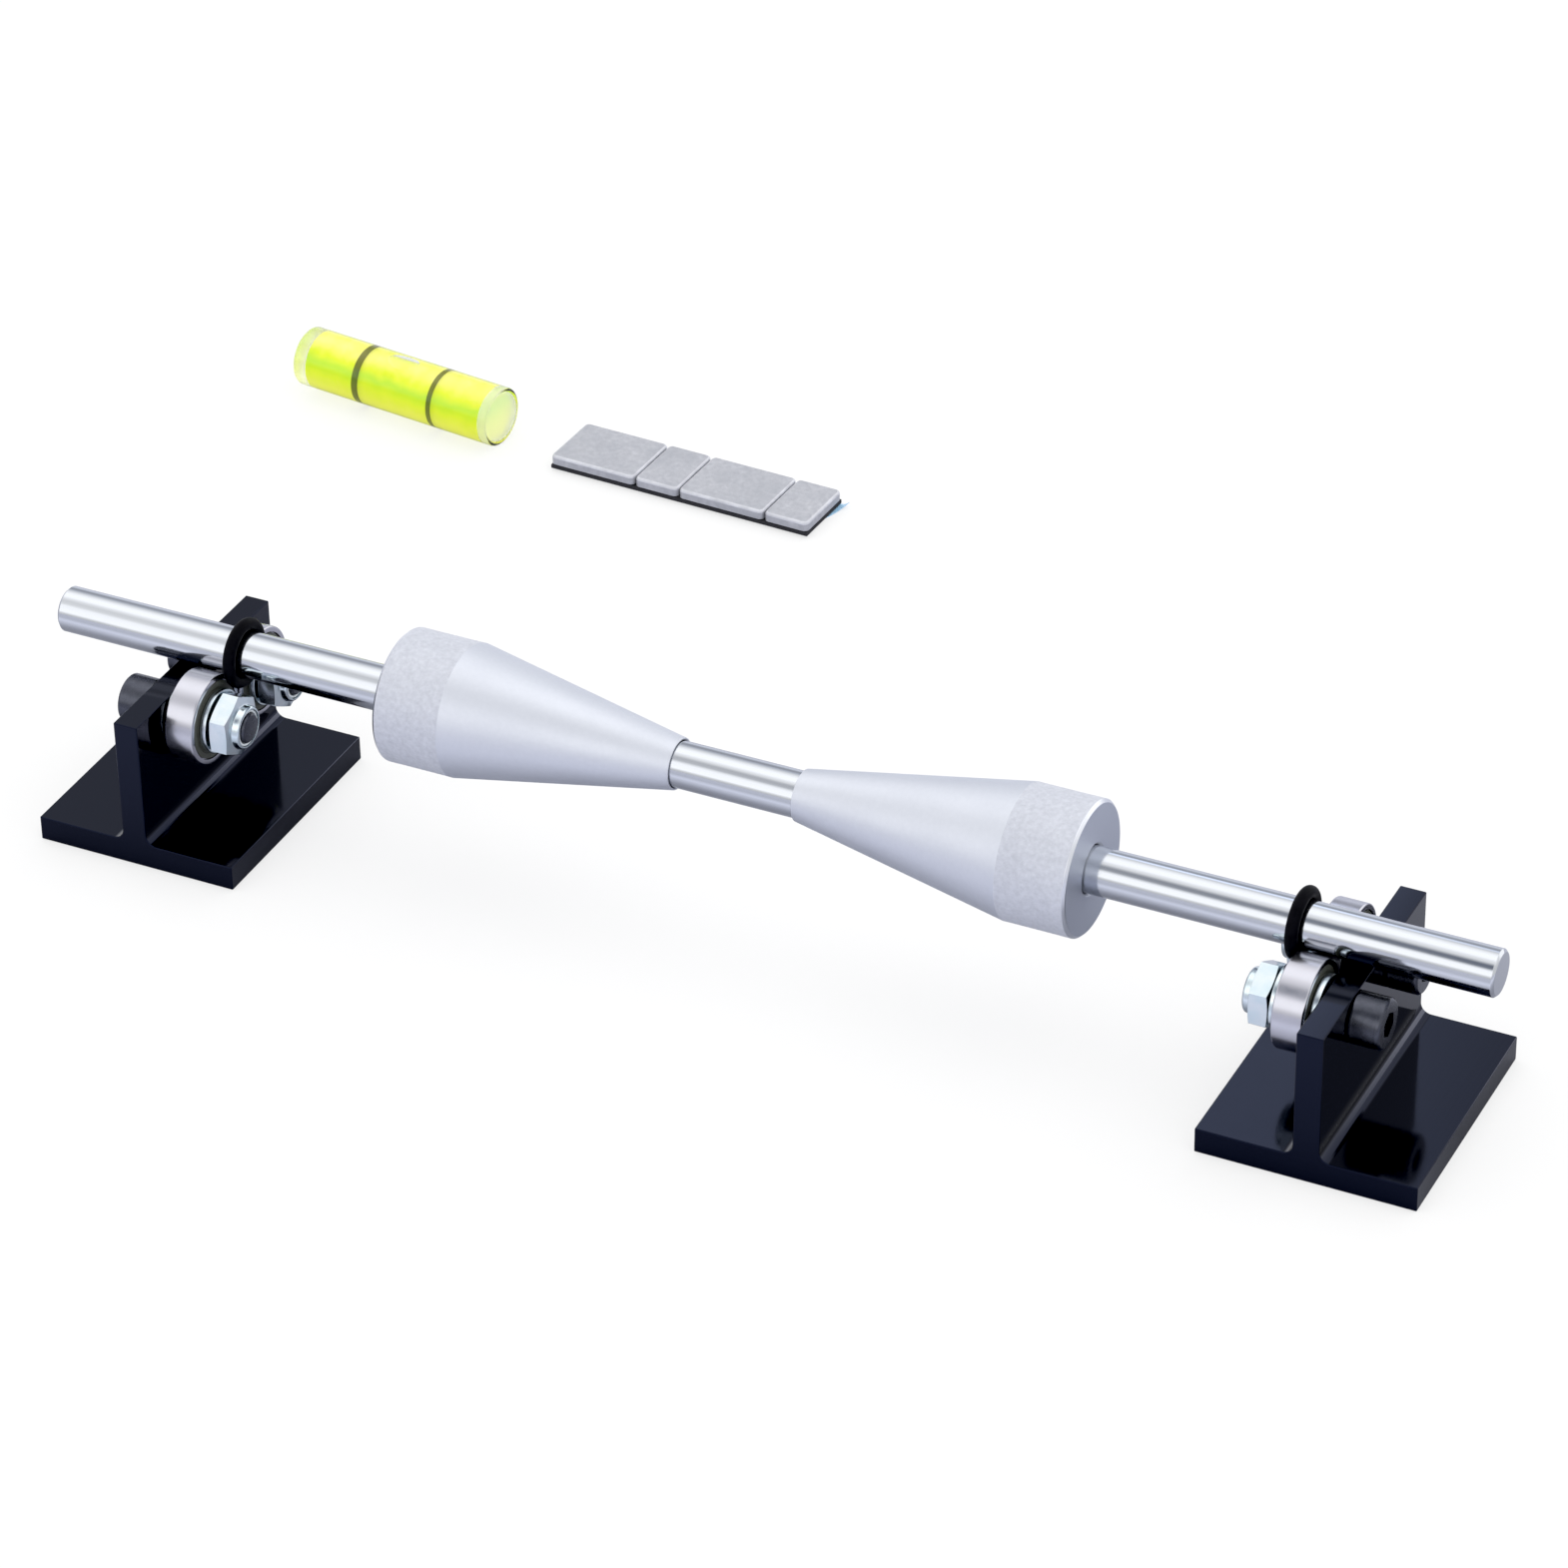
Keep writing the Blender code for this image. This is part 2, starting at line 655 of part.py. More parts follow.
def main():
    clear_scene()
    parts = new_collection("motorcycle_wheel_balancer")
    cutters = new_collection("cutters")
    materials = {
        "black": finish("black_anodised", (0.012, 0.014, 0.020), 0.6, 0.35),
        "steel": finish("ground_steel", (0.80, 0.80, 0.83), 1.0, 0.12),
        "race": finish("bearing_steel", (0.74, 0.73, 0.76), 1.0, 0.18),
        "anodised": finish("satin_aluminium", (0.76, 0.76, 0.82), 1.0, 0.38),
        "black_steel": finish("black_oxide", (0.018, 0.018, 0.020), 0.7, 0.40),
        "plated": finish("zinc_plated", (0.72, 0.77, 0.82), 1.0, 0.25),
        "rubber": finish("black_rubber", (0.010, 0.010, 0.011), 0.0, 0.55),
        "nylon": finish("white_nylon", (0.80, 0.83, 0.86), 0.0, 0.45),
        "clear": finish("clear_acrylic", (0.95, 0.97, 0.95), 0.0, 0.08),
        "liquid": finish("level_liquid", (0.72, 0.90, 0.03), 0.0, 0.10),
        "zinc": finish("painted_zinc", (0.50, 0.50, 0.55), 0.4, 0.40),
        "foam": finish("black_foam", (0.010, 0.010, 0.012), 0.0, 0.80),
        "paper": finish("blue_backing", (0.45, 0.68, 0.90), 0.0, 0.60),
    }
    patterns = {
        "cap_screw": (cap_screw(parts), "black_steel"),
        "washer": (washer(parts), "plated"),
        "outer_race": (outer_race(parts), "race"),
        "inner_race": (inner_race(parts), "race"),
        "ball_set": (ball_set(parts), "race"),
        "seal": (seal(parts), "rubber"),
        "lock_nut": (lock_nut(parts), "plated"),
        "nylon_insert": (nylon_insert(parts), "nylon"),
    }
    for pattern, material in patterns.values():
        pattern.data.materials.append(materials[material])
    shapes = {name: pattern for name, (pattern, material) in patterns.items()}

    sides = (("left", 0, 1), ("right", stand_spacing, -1))
    for side, web, inward in sides:
        make_stand(side + "_stand", (web, 0, 0), materials["black"], parts, cutters)
        for label, across in (("near", -bearing_pitch / 2), ("far", bearing_pitch / 2)):
            make_station(f"{side}_{label}", (web, across, bolt_height), inward, shapes, parts)
    for pattern in shapes.values():
        bpy.data.objects.remove(pattern, do_unlink=True)

    make_shaft(materials["steel"], parts)
    middle = stand_spacing / 2 + cone_pair_shift
    reach = cone_gap / 2 + cone_length
    make_cone("left", middle - reach, 1, materials, parts, cutters)
    make_cone("right", middle + reach, -1, materials, parts, cutters)
    bearing_face = bearing_start + bearing_width
    left_ring = bearing_face + left_ring_gap + ring_section / 2
    right_ring = stand_spacing - bearing_face - right_ring_gap - ring_section / 2
    make_shaft_ring("left_shaft_ring", left_ring, materials["rubber"], parts)
    make_shaft_ring("right_shaft_ring", right_ring, materials["rubber"], parts)
    make_vial(materials, parts, cutters)
    make_weight_strip(materials, parts)


main()
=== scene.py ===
# %% [markdown]
# # Dressing a motorcycle wheel balancer
#
# A wheel balancer is a shaft that rolls on ball bearings. Two cones centre the wheel on the shaft,
# and the wheel's heavy side sinks until stick-on weights hold it level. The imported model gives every
# piece at its real size, on the body that it moves with. This lesson makes what a camera sees: rolled
# edges, a knurl, sockets, a bubble in its vial, and the finish of each metal.
#
# Lengths are in metres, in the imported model's own frame: X runs along the shaft and Z is up.

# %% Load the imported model
import json
from math import acos, cos, pi, radians, sin

import bmesh
import bpy
from mathutils import Matrix, Quaternion, Vector, noise

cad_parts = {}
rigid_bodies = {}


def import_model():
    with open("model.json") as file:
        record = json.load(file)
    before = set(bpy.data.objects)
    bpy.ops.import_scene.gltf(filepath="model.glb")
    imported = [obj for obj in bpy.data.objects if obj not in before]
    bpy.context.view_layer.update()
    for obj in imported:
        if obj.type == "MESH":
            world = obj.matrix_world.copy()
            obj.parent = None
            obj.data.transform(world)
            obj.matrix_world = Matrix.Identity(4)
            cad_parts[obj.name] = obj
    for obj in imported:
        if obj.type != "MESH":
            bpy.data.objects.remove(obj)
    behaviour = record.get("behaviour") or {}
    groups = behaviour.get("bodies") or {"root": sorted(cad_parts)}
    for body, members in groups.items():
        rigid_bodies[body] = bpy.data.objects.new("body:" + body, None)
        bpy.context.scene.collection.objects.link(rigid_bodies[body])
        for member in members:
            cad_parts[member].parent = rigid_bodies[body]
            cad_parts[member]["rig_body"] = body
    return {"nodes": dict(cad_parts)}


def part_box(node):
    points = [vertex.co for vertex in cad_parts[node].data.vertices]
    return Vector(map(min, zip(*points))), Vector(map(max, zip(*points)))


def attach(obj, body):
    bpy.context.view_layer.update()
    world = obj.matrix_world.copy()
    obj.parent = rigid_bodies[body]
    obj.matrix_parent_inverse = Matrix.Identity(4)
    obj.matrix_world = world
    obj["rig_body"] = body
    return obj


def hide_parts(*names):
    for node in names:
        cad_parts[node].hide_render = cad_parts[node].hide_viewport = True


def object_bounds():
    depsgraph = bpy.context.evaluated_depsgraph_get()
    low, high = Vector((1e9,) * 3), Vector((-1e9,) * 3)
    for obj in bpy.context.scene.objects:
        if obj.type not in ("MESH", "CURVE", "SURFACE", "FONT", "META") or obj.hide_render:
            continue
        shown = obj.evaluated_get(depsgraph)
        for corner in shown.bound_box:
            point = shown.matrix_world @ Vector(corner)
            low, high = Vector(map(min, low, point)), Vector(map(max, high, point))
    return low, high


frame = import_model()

mm = 0.001
cad_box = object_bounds()
print("CAD box in mm:", [[round(value / mm, 1) for value in corner] for corner in cad_box])

# %% [markdown]
# ## The camera
#
# A product photograph is usually taken from far off with a long lens, so that parallel edges stay
# nearly parallel. The camera's place could be guessed and nudged, but a fit of known corners, such as
# the stands' feet and the shaft's ends, gives it at once. The small roll is the photographer's: the
# bench isn't quite level in the picture.

# %% Camera
camera_place = Vector((735.08, -1140.81, 895.99)) * mm
camera_aim = Vector((166.78, 3.06, 48.44)) * mm
camera_roll = radians(-1.063)
camera_lens = 143.33     # in mm
sensor_width = 36        # in mm

lens = bpy.data.cameras.new("camera")
lens.sensor_width = sensor_width
lens.lens = camera_lens
camera = bpy.data.objects.new("camera", lens)
bpy.context.scene.collection.objects.link(camera)
aim = (camera_aim - camera_place).to_track_quat("-Z", "Y")
camera.rotation_mode = "QUATERNION"
camera.rotation_quaternion = aim @ Quaternion((0, 0, 1), camera_roll)
camera.location = camera_place
bpy.context.scene.camera = camera
print("camera distance:", round((camera_aim - camera_place).length, 3), "m")

# %% [markdown]
# ## Nodes, made by small helpers
#
# Every finish below is a node tree. Clicking nodes together is quick for one material, but a script
# that repeats itself is hard to read. So one helper adds a node and fills or links its sockets, and a
# few more wrap the nodes that turn up everywhere: sums, spans, mixed colours and ramps.

# %% Node helpers
def add_node(tree, kind, inputs=None, **options):
    """Adds a node. An input's value is a number, a colour, or the socket that feeds it."""
    made = tree.nodes.new(kind)
    for option, value in options.items():
        setattr(made, option, value)
    for socket, value in (inputs or {}).items():
        if isinstance(value, bpy.types.NodeSocket):
            tree.links.new(value, made.inputs[socket])
        else:
            made.inputs[socket].default_value = value
    return made


def calculate(tree, operation, *values):
    """The result of a Math node."""
    return add_node(tree, "ShaderNodeMath", dict(enumerate(values)), operation=operation).outputs[0]


def product(tree, value, *others):
    """Several values multiplied together."""
    for other in others:
        value = calculate(tree, "MULTIPLY", value, other)
    return value


def distance_from(tree, value, middle):
    """How far a value lies from a middle, to either side."""
    return calculate(tree, "ABSOLUTE", calculate(tree, "SUBTRACT", value, middle))


def remap(tree, value, start, end, low=0.0, high=1.0):
    """Turns the span from start to end into the span from low to high, and holds it beyond."""
    return add_node(tree, "ShaderNodeMapRange", {
        "Value": value, "From Min": start, "From Max": end,
        "To Min": low, "To Max": high}).outputs["Result"]


print("node helpers ready")

# %% Colour helpers
mix_first, mix_second, mix_result = 6, 7, 2      # a Mix node's sockets when it mixes colours


def grey(light):
    return (light, light, light)


def blend_colors(tree, factor, first, second, **options):
    """A colour between two others. Each is a colour, or the socket that feeds it."""
    sockets = {"Factor": factor}
    for number, color in ((mix_first, first), (mix_second, second)):
        sockets[number] = color if isinstance(color, bpy.types.NodeSocket) else (*color, 1)
    return add_node(tree, "ShaderNodeMix", sockets, data_type="RGBA", **options).outputs[mix_result]


def color_ramp(tree, place, steps):
    """A ramp of (share, colour) steps."""
    ramp = add_node(tree, "ShaderNodeValToRGB", {"Fac": place})
    elements = ramp.color_ramp.elements
    while len(elements) < len(steps):
        elements.new(1)
    for element, (share, color) in zip(elements, steps):
        element.position = share
        element.color = (*color, 1)
    return ramp.outputs["Color"]


print("colour helpers ready")

# %% [markdown]
# ## The studio
#
# Polished steel has no colour of its own: it shows the room. In the photograph long soft boxes lie
# along the shaft, and each is a bright stripe on it. Area lights could make them, but they would also
# lay pools of light on the floor. So the boxes are painted on the sky as bands of elevation, counted
# from the front horizon over the top to the back one, and the floor stays even. Below the horizon the
# sky goes on as it is there, so that a low view shows no edge behind the floor.

# %% Sky with soft boxes
half_turn = 180          # degrees
brightest = 1.9
sky_bands = (            # degrees up from the front horizon, and share of the brightest light
    (0, 0.44),
    (6, 0.56),
    (14, 0.92),
    (44, 0.86),
    (54, 0.64),
    (68, 0.58),
    (80, 0.70),
    (92, 0.92),
    (108, 0.92),
    (120, 0.80),
    (136, 0.50),
    (150, 0.27),
    (160, 0.30),
    (171, 0.50),
    (180, 0.55),
)

scene = bpy.context.scene
world = bpy.data.worlds.new("studio")
scene.world = world
world.use_nodes = True
sky = world.node_tree
toward = add_node(sky, "ShaderNodeTexCoord").outputs["Generated"]
toward_right, toward_back, toward_top = add_node(
    sky, "ShaderNodeSeparateXYZ", {"Vector": toward}).outputs
toward_front = calculate(sky, "MULTIPLY", toward_back, -1)
above_horizon = calculate(sky, "MAXIMUM", toward_top, 0)
rise = calculate(sky, "DEGREES", calculate(sky, "ARCTAN2", above_horizon, toward_front))
boxes = color_ramp(sky, calculate(sky, "DIVIDE", rise, half_turn), [
    (degrees / half_turn, grey(light)) for degrees, light in sky_bands])
print("sky bands:", len(sky_bands))

# %% [markdown]
# The gap between the front box and the upper one is a dim blue. It is darker towards the right, where
# it also leans forward, and beyond what the shaft mirrors it is weaker again. Places across the sky
# are given as the direction's X, from -1 at the left to 1 at the right.

# %% Gap between the boxes
gap_middle = 61                      # degrees up, as for the bands
gap_lean = 9                         # degrees further forward at the right
gap_reach = 19                       # degrees to each side where it ends
gap_core = gap_reach / 3             # degrees to each side where it is darkest
gap_depth = 0.92                     # how much of the light is missing there
gap_color = (0.05, 0.065, 0.10)
gap_span = (-0.46, -0.26)            # across the sky, from no gap to the whole of it
past_shaft_span = (-0.22, -0.10)     # across the sky, from the whole of it to the rest
gap_rest = 0.4

at_right = remap(sky, toward_right, *gap_span)
past_shaft = remap(sky, toward_right, *past_shaft_span, low=1.0, high=gap_rest)
gap_here = calculate(sky, "MULTIPLY_ADD", at_right, -gap_lean, gap_middle)
in_gap = remap(sky, distance_from(sky, rise, gap_here), gap_reach, gap_core)
missing = product(sky, at_right, past_shaft, gap_depth, in_gap)
boxes_and_gap = blend_colors(sky, missing, boxes, gap_color)
print("gap, degrees up:", gap_middle - gap_reach, "to", gap_middle + gap_reach)

# %% [markdown]
# The back wall is cool, and a dim stretch of it draws the dark line along the shaft's upper edge. A
# small blue light in that stretch turns the right stand's foot navy, as in the photograph. To both
# sides of the stretch the wall is bright.

# %% Back wall
wall_start = 125                     # degrees up, as for the bands
wall_fade = 20                       # degrees further up where it is all wall
wall_tint = (0.92, 0.96, 1.06)
wall_light = 0.85                    # share of the brightest light beside the dim stretch
dim_middle = -0.36                   # across the sky, where the shaft and the feet mirror it
dim_reach = 0.15
dim_fade = 0.12
blue_light = (0.40, 0.46, 0.58)
blue_height = 142                    # degrees up
blue_high = (8, 3)                   # degrees to each side, from none of it to the whole
blue_middle = -0.30                  # across the sky
blue_wide = (0.06, 0.015)            # to each side, from none of it to the whole

on_wall = remap(sky, rise, wall_start, wall_start + wall_fade)
tint = blend_colors(sky, on_wall, grey(1), wall_tint)
cool = add_node(sky, "ShaderNodeVectorMath", {0: boxes_and_gap, 1: tint},
                operation="MULTIPLY").outputs["Vector"]
near_height = remap(sky, distance_from(sky, rise, blue_height), *blue_high)
near_middle = remap(sky, distance_from(sky, toward_right, blue_middle), *blue_wide)
dim_wall = blend_colors(sky, product(sky, near_height, near_middle), cool, blue_light,
                        blend_type="ADD")
beside = remap(sky, distance_from(sky, toward_right, dim_middle), dim_reach, dim_reach + dim_fade)
walls = blend_colors(sky, product(sky, on_wall, beside), dim_wall, grey(wall_light))
print("wall, degrees up:", wall_start, "to", half_turn)

# %% [markdown]
# The flat ends of the shaft look along its axis. There all the bands run together, so that part of
# the sky gets one even light. Last, the print is given deep blacks, which the photograph has.

# %% Ends of the sky, and the print
end_light = 0.50                     # share of the brightest light
end_span = (0.70, 0.95)              # to the left and right across the sky
print_black = 0.004                  # light that prints as black

at_ends = remap(sky, distance_from(sky, toward_right, 0), *end_span)
background = sky.nodes["Background"]
sky.links.new(blend_colors(sky, at_ends, walls, grey(end_light)), background.inputs["Color"])
background.inputs["Strength"].default_value = brightest
scene.view_settings.view_transform = "Standard"
scene.view_settings.use_curve_mapping = True
scene.view_settings.curve_mapping.black_level = grey(print_black)
scene.view_settings.curve_mapping.update()
print("sky nodes:", len(sky.nodes))

# %% [markdown]
# The floor is one large square just below the stands' feet. It is a pale matt sheet of paper, so it
# takes only the soft shadows that the sky leaves under the pieces. A photographer exposes such a sheet
# until it is nearly white, while the metal above it still mirrors a lavender grey. The sheet here does
# both: rays that come straight from the lens see a dim grey with a glow that lifts it to white, and all
# other rays see a painted strip instead: a painted highlight in front, as a reflector would give, and
# painted shade under the shaft.

# %% Floor paper
seen_grey = 0.28
paper_glow = 0.66
paper_roughness = 0.9
paper_gloss = 0.1
mirrored_color = (0.84, 0.86, 0.98)
# Painted highlight and painted shade on the floor, seen only in reflections: brightest in front of the
# shaft, darkest under it.
floor_highlight_and_shade_bands = (          # mm behind the shaft, and share of the mirrored colour
    (-160, 0.70),
    (-85, 0.98),
    (-50, 0.74),
    (-25, 0.49),
    (0, 0.37),
    (60, 0.48),
    (140, 0.66),
)

paper = bpy.data.materials.new("floor_paper")
paper.use_nodes = True
tree = paper.node_tree
place = add_node(tree, "ShaderNodeTexCoord").outputs["Object"]
behind = add_node(tree, "ShaderNodeSeparateXYZ", {"Vector": place}).outputs["Y"]
first, last = floor_highlight_and_shade_bands[0][0], floor_highlight_and_shade_bands[-1][0]
# The painted strip: highlight in front, shade under the shaft.
strip = color_ramp(tree, remap(tree, behind, first * mm, last * mm), [
    ((distance - first) / (last - first), [value * light for value in mirrored_color])
    for distance, light in floor_highlight_and_shade_bands])
from_lens = add_node(tree, "ShaderNodeLightPath").outputs["Is Camera Ray"]
shader = tree.nodes["Principled BSDF"]
shader.inputs["Roughness"].default_value = paper_roughness
shader.inputs["Specular IOR Level"].default_value = paper_gloss
tree.links.new(blend_colors(tree, from_lens, strip, grey(seen_grey)), shader.inputs["Base Color"])
glow = add_node(tree, "ShaderNodeEmission", {"Strength": product(tree, from_lens, paper_glow)})
lit = add_node(tree, "ShaderNodeAddShader", {0: shader.outputs[0], 1: glow.outputs[0]})
tree.links.new(lit.outputs[0], tree.nodes["Material Output"].inputs["Surface"])
print("finish:", paper.name)

# %% Floor
floor_side = 12.0
floor_drop = 0.1 * mm

sheet = bmesh.new()
bmesh.ops.create_grid(sheet, x_segments=1, y_segments=1, size=floor_side / 2)
bmesh.ops.translate(sheet, verts=sheet.verts, vec=(0, 0, cad_box[0].z - floor_drop))
floor_mesh = bpy.data.meshes.new("floor")
sheet.to_mesh(floor_mesh)
sheet.free()
floor = bpy.data.objects.new("floor", floor_mesh)
floor_mesh.materials.append(paper)
scene.collection.objects.link(floor)
print("floor side:", floor_side, "m")

# %% [markdown]
# ## Effects that many finishes share
#
# Four small groups hold what real surfaces have in common. Each is built once and placed in every
# material that needs it, with its own sizes.
#
# - `unevenness` is soft noise between two values, for roughness and colour that are never quite even.
# - `tool_lines` are the fine rings that a lathe or grinder leaves, which follow a turned shape round
#   its axis. They are noise along one line: the distance along the axis plus the distance from it.
# - `worn_edges` is 1 along sharp edges and 0 elsewhere, broken up by noise. It compares the surface's
#   normal with a rounded one.
# - `blasting` is the pitted grain of cast, blasted and moulded surfaces, as a height for a bump.

# %% Starting a group
def new_group(name, output, **numbers):
    """An empty group with a Vector input, other inputs with their defaults, and one output."""
    group = bpy.data.node_groups.new(name, "ShaderNodeTree")
    group.interface.new_socket(name="Vector", in_out="INPUT", socket_type="NodeSocketVector")
    for label, value in numbers.items():
        socket = group.interface.new_socket(name=label, in_out="INPUT", socket_type="NodeSocketFloat")
        socket.default_value = value
    group.interface.new_socket(name=output, in_out="OUTPUT", socket_type="NodeSocketFloat")
    given = group.nodes.new("NodeGroupInput").outputs
    result = group.nodes.new("NodeGroupOutput").inputs[output]
    print("group:", name)
    return group, given, result


def noise_of(group, given, size, detail, share=1, **inputs):
    """Soft noise on the group's vector, with clouds of a given size. A share under 1 widens them."""
    scale = calculate(group, "DIVIDE", share, given[size])
    return add_node(group, "ShaderNodeTexNoise", {
        "Vector": given["Vector"], "Scale": scale, "Detail": detail, **inputs}).outputs[0]


print("group helpers ready")

# %% Group: unevenness
noise_span = (0.3, 0.7)              # soft noise seldom leaves it

unevenness, given, result = new_group("unevenness", "Value", Size=10 * mm, Low=0.2, High=0.4)
cloud = noise_of(unevenness, given, "Size", detail=4.0, Roughness=0.6)
spread = remap(unevenness, cloud, *noise_span, low=given["Low"], high=given["High"])
unevenness.links.new(spread, result)
print("inputs:", [socket.name for socket in given if socket.name])

# %% Group: tool lines
tool_lines, given, result = new_group("tool_lines", "Height", Spacing=0.1 * mm)
axes = add_node(tool_lines, "ShaderNodeSeparateXYZ", {"Vector": given["Vector"]}).outputs
across = add_node(tool_lines, "ShaderNodeCombineXYZ", {"Y": axes["Y"], "Z": axes["Z"]})
from_axis = add_node(tool_lines, "ShaderNodeVectorMath", {0: across.outputs[0]}, operation="LENGTH")
path = calculate(tool_lines, "ADD", axes["X"], from_axis.outputs["Value"])
turns = calculate(tool_lines, "DIVIDE", path, given["Spacing"])
lines = add_node(tool_lines, "ShaderNodeTexNoise", {"W": turns, "Scale": 1.0, "Detail": 3.0},
                 noise_dimensions="1D")
tool_lines.links.new(lines.outputs[0], result)
print("inputs:", [socket.name for socket in given if socket.name])

# %% Group: worn edges
edge_span = (0.98, 0.80)             # likeness of the two normals, from no wear to the whole
breakup_span = (0.35, 0.65)
least_wear = 0.25

worn_edges, given, result = new_group("worn_edges", "Mask", Width=0.4 * mm, Breakup=3 * mm)
rounded = add_node(worn_edges, "ShaderNodeBevel", {"Radius": given["Width"]}, samples=6)
flat = add_node(worn_edges, "ShaderNodeNewGeometry").outputs["Normal"]
likeness = add_node(worn_edges, "ShaderNodeVectorMath", {0: rounded.outputs[0], 1: flat},
                    operation="DOT_PRODUCT").outputs["Value"]
patches = noise_of(worn_edges, given, "Breakup", detail=3.0)
worn_there = remap(worn_edges, patches, *breakup_span, low=least_wear)
worn_edges.links.new(product(worn_edges, remap(worn_edges, likeness, *edge_span), worn_there),
                     result)
print("inputs:", [socket.name for socket in given if socket.name])

# %% Group: blasting
dust_share = 0.7                     # scale of the dust's noise, as a share of the pits'

blasting, given, result = new_group("blasting", "Height", Size=0.4 * mm)
pits = add_node(blasting, "ShaderNodeTexVoronoi", {
    "Vector": given["Vector"], "Scale": calculate(blasting, "DIVIDE", 1, given["Size"])},
    feature="SMOOTH_F1")
dust = noise_of(blasting, given, "Size", detail=5.0, share=dust_share)
blasting.links.new(calculate(blasting, "ADD", pits.outputs["Distance"], dust), result)
print("inputs:", [socket.name for socket in given if socket.name])

# %% [markdown]
# ## Starting a finish
#
# A finish is a Principled shader whose constants are set on the shader itself, with the groups
# feeding the sockets that vary. `Recipe` keeps the tree, the shader and a centred coordinate
# together, so that each finish below reads as a short list of what makes it look real.

# %% Recipe
class Recipe:
    """A material that is being mixed, with the coordinate that its patterns use."""

    def __init__(self, name, color, metallic, roughness, centre=(0, 0, 0), slot=None):
        self.material = bpy.data.materials.new(name)
        self.material.use_nodes = True
        self.tree = self.material.node_tree
        self.shader = self.tree.nodes["Principled BSDF"]
        self.slot = slot or name
        self.color = color
        self.set("Base Color", (*color, 1))
        self.set("Metallic", metallic)
        self.set("Roughness", roughness)
        place = add_node(self.tree, "ShaderNodeTexCoord").outputs["Object"]
        self.place = add_node(self.tree, "ShaderNodeMapping", {
            "Vector": place, "Location": Vector(centre) * -1}).outputs[0]
        print("finish:", name)

    def set(self, socket, value):
        self.shader.inputs[socket].default_value = value

    def feed(self, socket, source):
        self.tree.links.new(source, self.shader.inputs[socket])

    def coordinate(self, axis):
        """One coordinate of the centred place."""
        return add_node(self.tree, "ShaderNodeSeparateXYZ", {"Vector": self.place}).outputs[axis]

    def marked(self, name):
        """1 on the faces that carry a mark, and 0 elsewhere."""
        return add_node(self.tree, "ShaderNodeAttribute", attribute_name=name).outputs["Fac"]

    def group(self, group, **inputs):
        """Places a shared group and gives its output."""
        inputs = {"Vector": self.place, **inputs}
        return add_node(self.tree, "ShaderNodeGroup", inputs, node_tree=group).outputs[0]

    def uneven(self, low, high, size):
        return self.group(unevenness, Size=size, Low=low, High=high)

    def blend(self, factor, first, second):
        return blend_colors(self.tree, factor, first, second)

    def drift(self, color, size):
        """The finish's colour, which drifts to another in patches of a size."""
        return self.blend(self.uneven(0.0, 1.0, size=size), self.color, color)

    def bump(self, height, depth, under=None):
        """Lays a relief of a real depth over the surface, or over another relief."""
        sockets = {"Height": height, "Distance": depth, "Strength": 1.0}
        if under:
            sockets["Normal"] = under
        normal = add_node(self.tree, "ShaderNodeBump", sockets).outputs[0]
        self.feed("Normal", normal)
        return normal


print("recipe ready")

# %% [markdown]
# ## Starting a shape
#
# Nearly every piece here was turned on a lathe, so it begins as half an outline that is spun round
# an axis. The outline is drawn with Z as the axis, and points on it are (radius, height). Some shapes
# turn up again and again, such as a plain rod for a drill or a ring for a washer, so each of them has
# a name of its own.

# %% First shapes
tiny = 0.002 * mm


def turned(outline, closed=False, steps=96):
    """Spins an outline of (radius, height) points about Z."""
    shape = bmesh.new()
    points = [shape.verts.new((radius, 0, height)) for radius, height in outline]
    lines = [shape.edges.new(pair) for pair in zip(points, points[1:])]
    if closed:
        lines.append(shape.edges.new((points[-1], points[0])))
    bmesh.ops.spin(shape, geom=points + lines, cent=(0, 0, 0), axis=(0, 0, 1), angle=2 * pi,
                   steps=steps, use_merge=True)
    bmesh.ops.remove_doubles(shape, verts=shape.verts, dist=tiny)
    bmesh.ops.recalc_face_normals(shape, faces=shape.faces)
    return shape


def rod(radius, low, high, steps=96):
    return turned([(0, low), (radius, low), (radius, high), (0, high)], steps=steps)


def chamfered_rod(radius, length, chamfer, steps):
    return turned([(0, 0), (radius - chamfer, 0), (radius, chamfer), (radius, length - chamfer),
                   (radius - chamfer, length), (0, length)], steps=steps)


def ring(inner, outer, low, high, steps=96):
    return turned([(inner, low), (outer, low), (outer, high), (inner, high)], closed=True,
                  steps=steps)


def prism(sides, across_flats, low, high):
    """An upright prism with a flat that faces +X."""
    shape = bmesh.new()
    corner = across_flats / 2 / cos(pi / sides)
    place = Matrix.Translation((0, 0, (low + high) / 2)) @ Matrix.Rotation(pi / sides, 4, "Z")
    bmesh.ops.create_cone(shape, cap_ends=True, segments=sides, radius1=corner, radius2=corner,
                          depth=high - low, matrix=place)
    return shape


def block(low, high):
    """A box between two corners."""
    shape = bmesh.new()
    place = Matrix.Translation((low + high) / 2)
    bmesh.ops.create_cube(shape, size=1, matrix=place @ Matrix.Diagonal((*(high - low), 1)))
    return shape


print("first shapes ready")

# %% [markdown]
# Edges are rolled with a bevel, because a real edge always catches a thin line of light. Sockets and
# drilled holes are carved with a Boolean, which copes with any two closed shapes. The small tests
# below pick the edges and faces to work on by where they lie.

# %% Tools
def roll_edges(shape, width, segments=3, sharper_than=25, chosen=None):
    """Rounds the edges that are sharper than an angle in degrees."""
    edges = [edge for edge in shape.edges
             if len(edge.link_faces) == 2 and edge.calc_face_angle() > radians(sharper_than)
             and (chosen is None or chosen(edge))]
    bmesh.ops.bevel(shape, geom=edges, offset=width, offset_type="OFFSET", segments=segments,
                    profile=0.5, affect="EDGES", clamp_overlap=True, material=-1)
    return shape


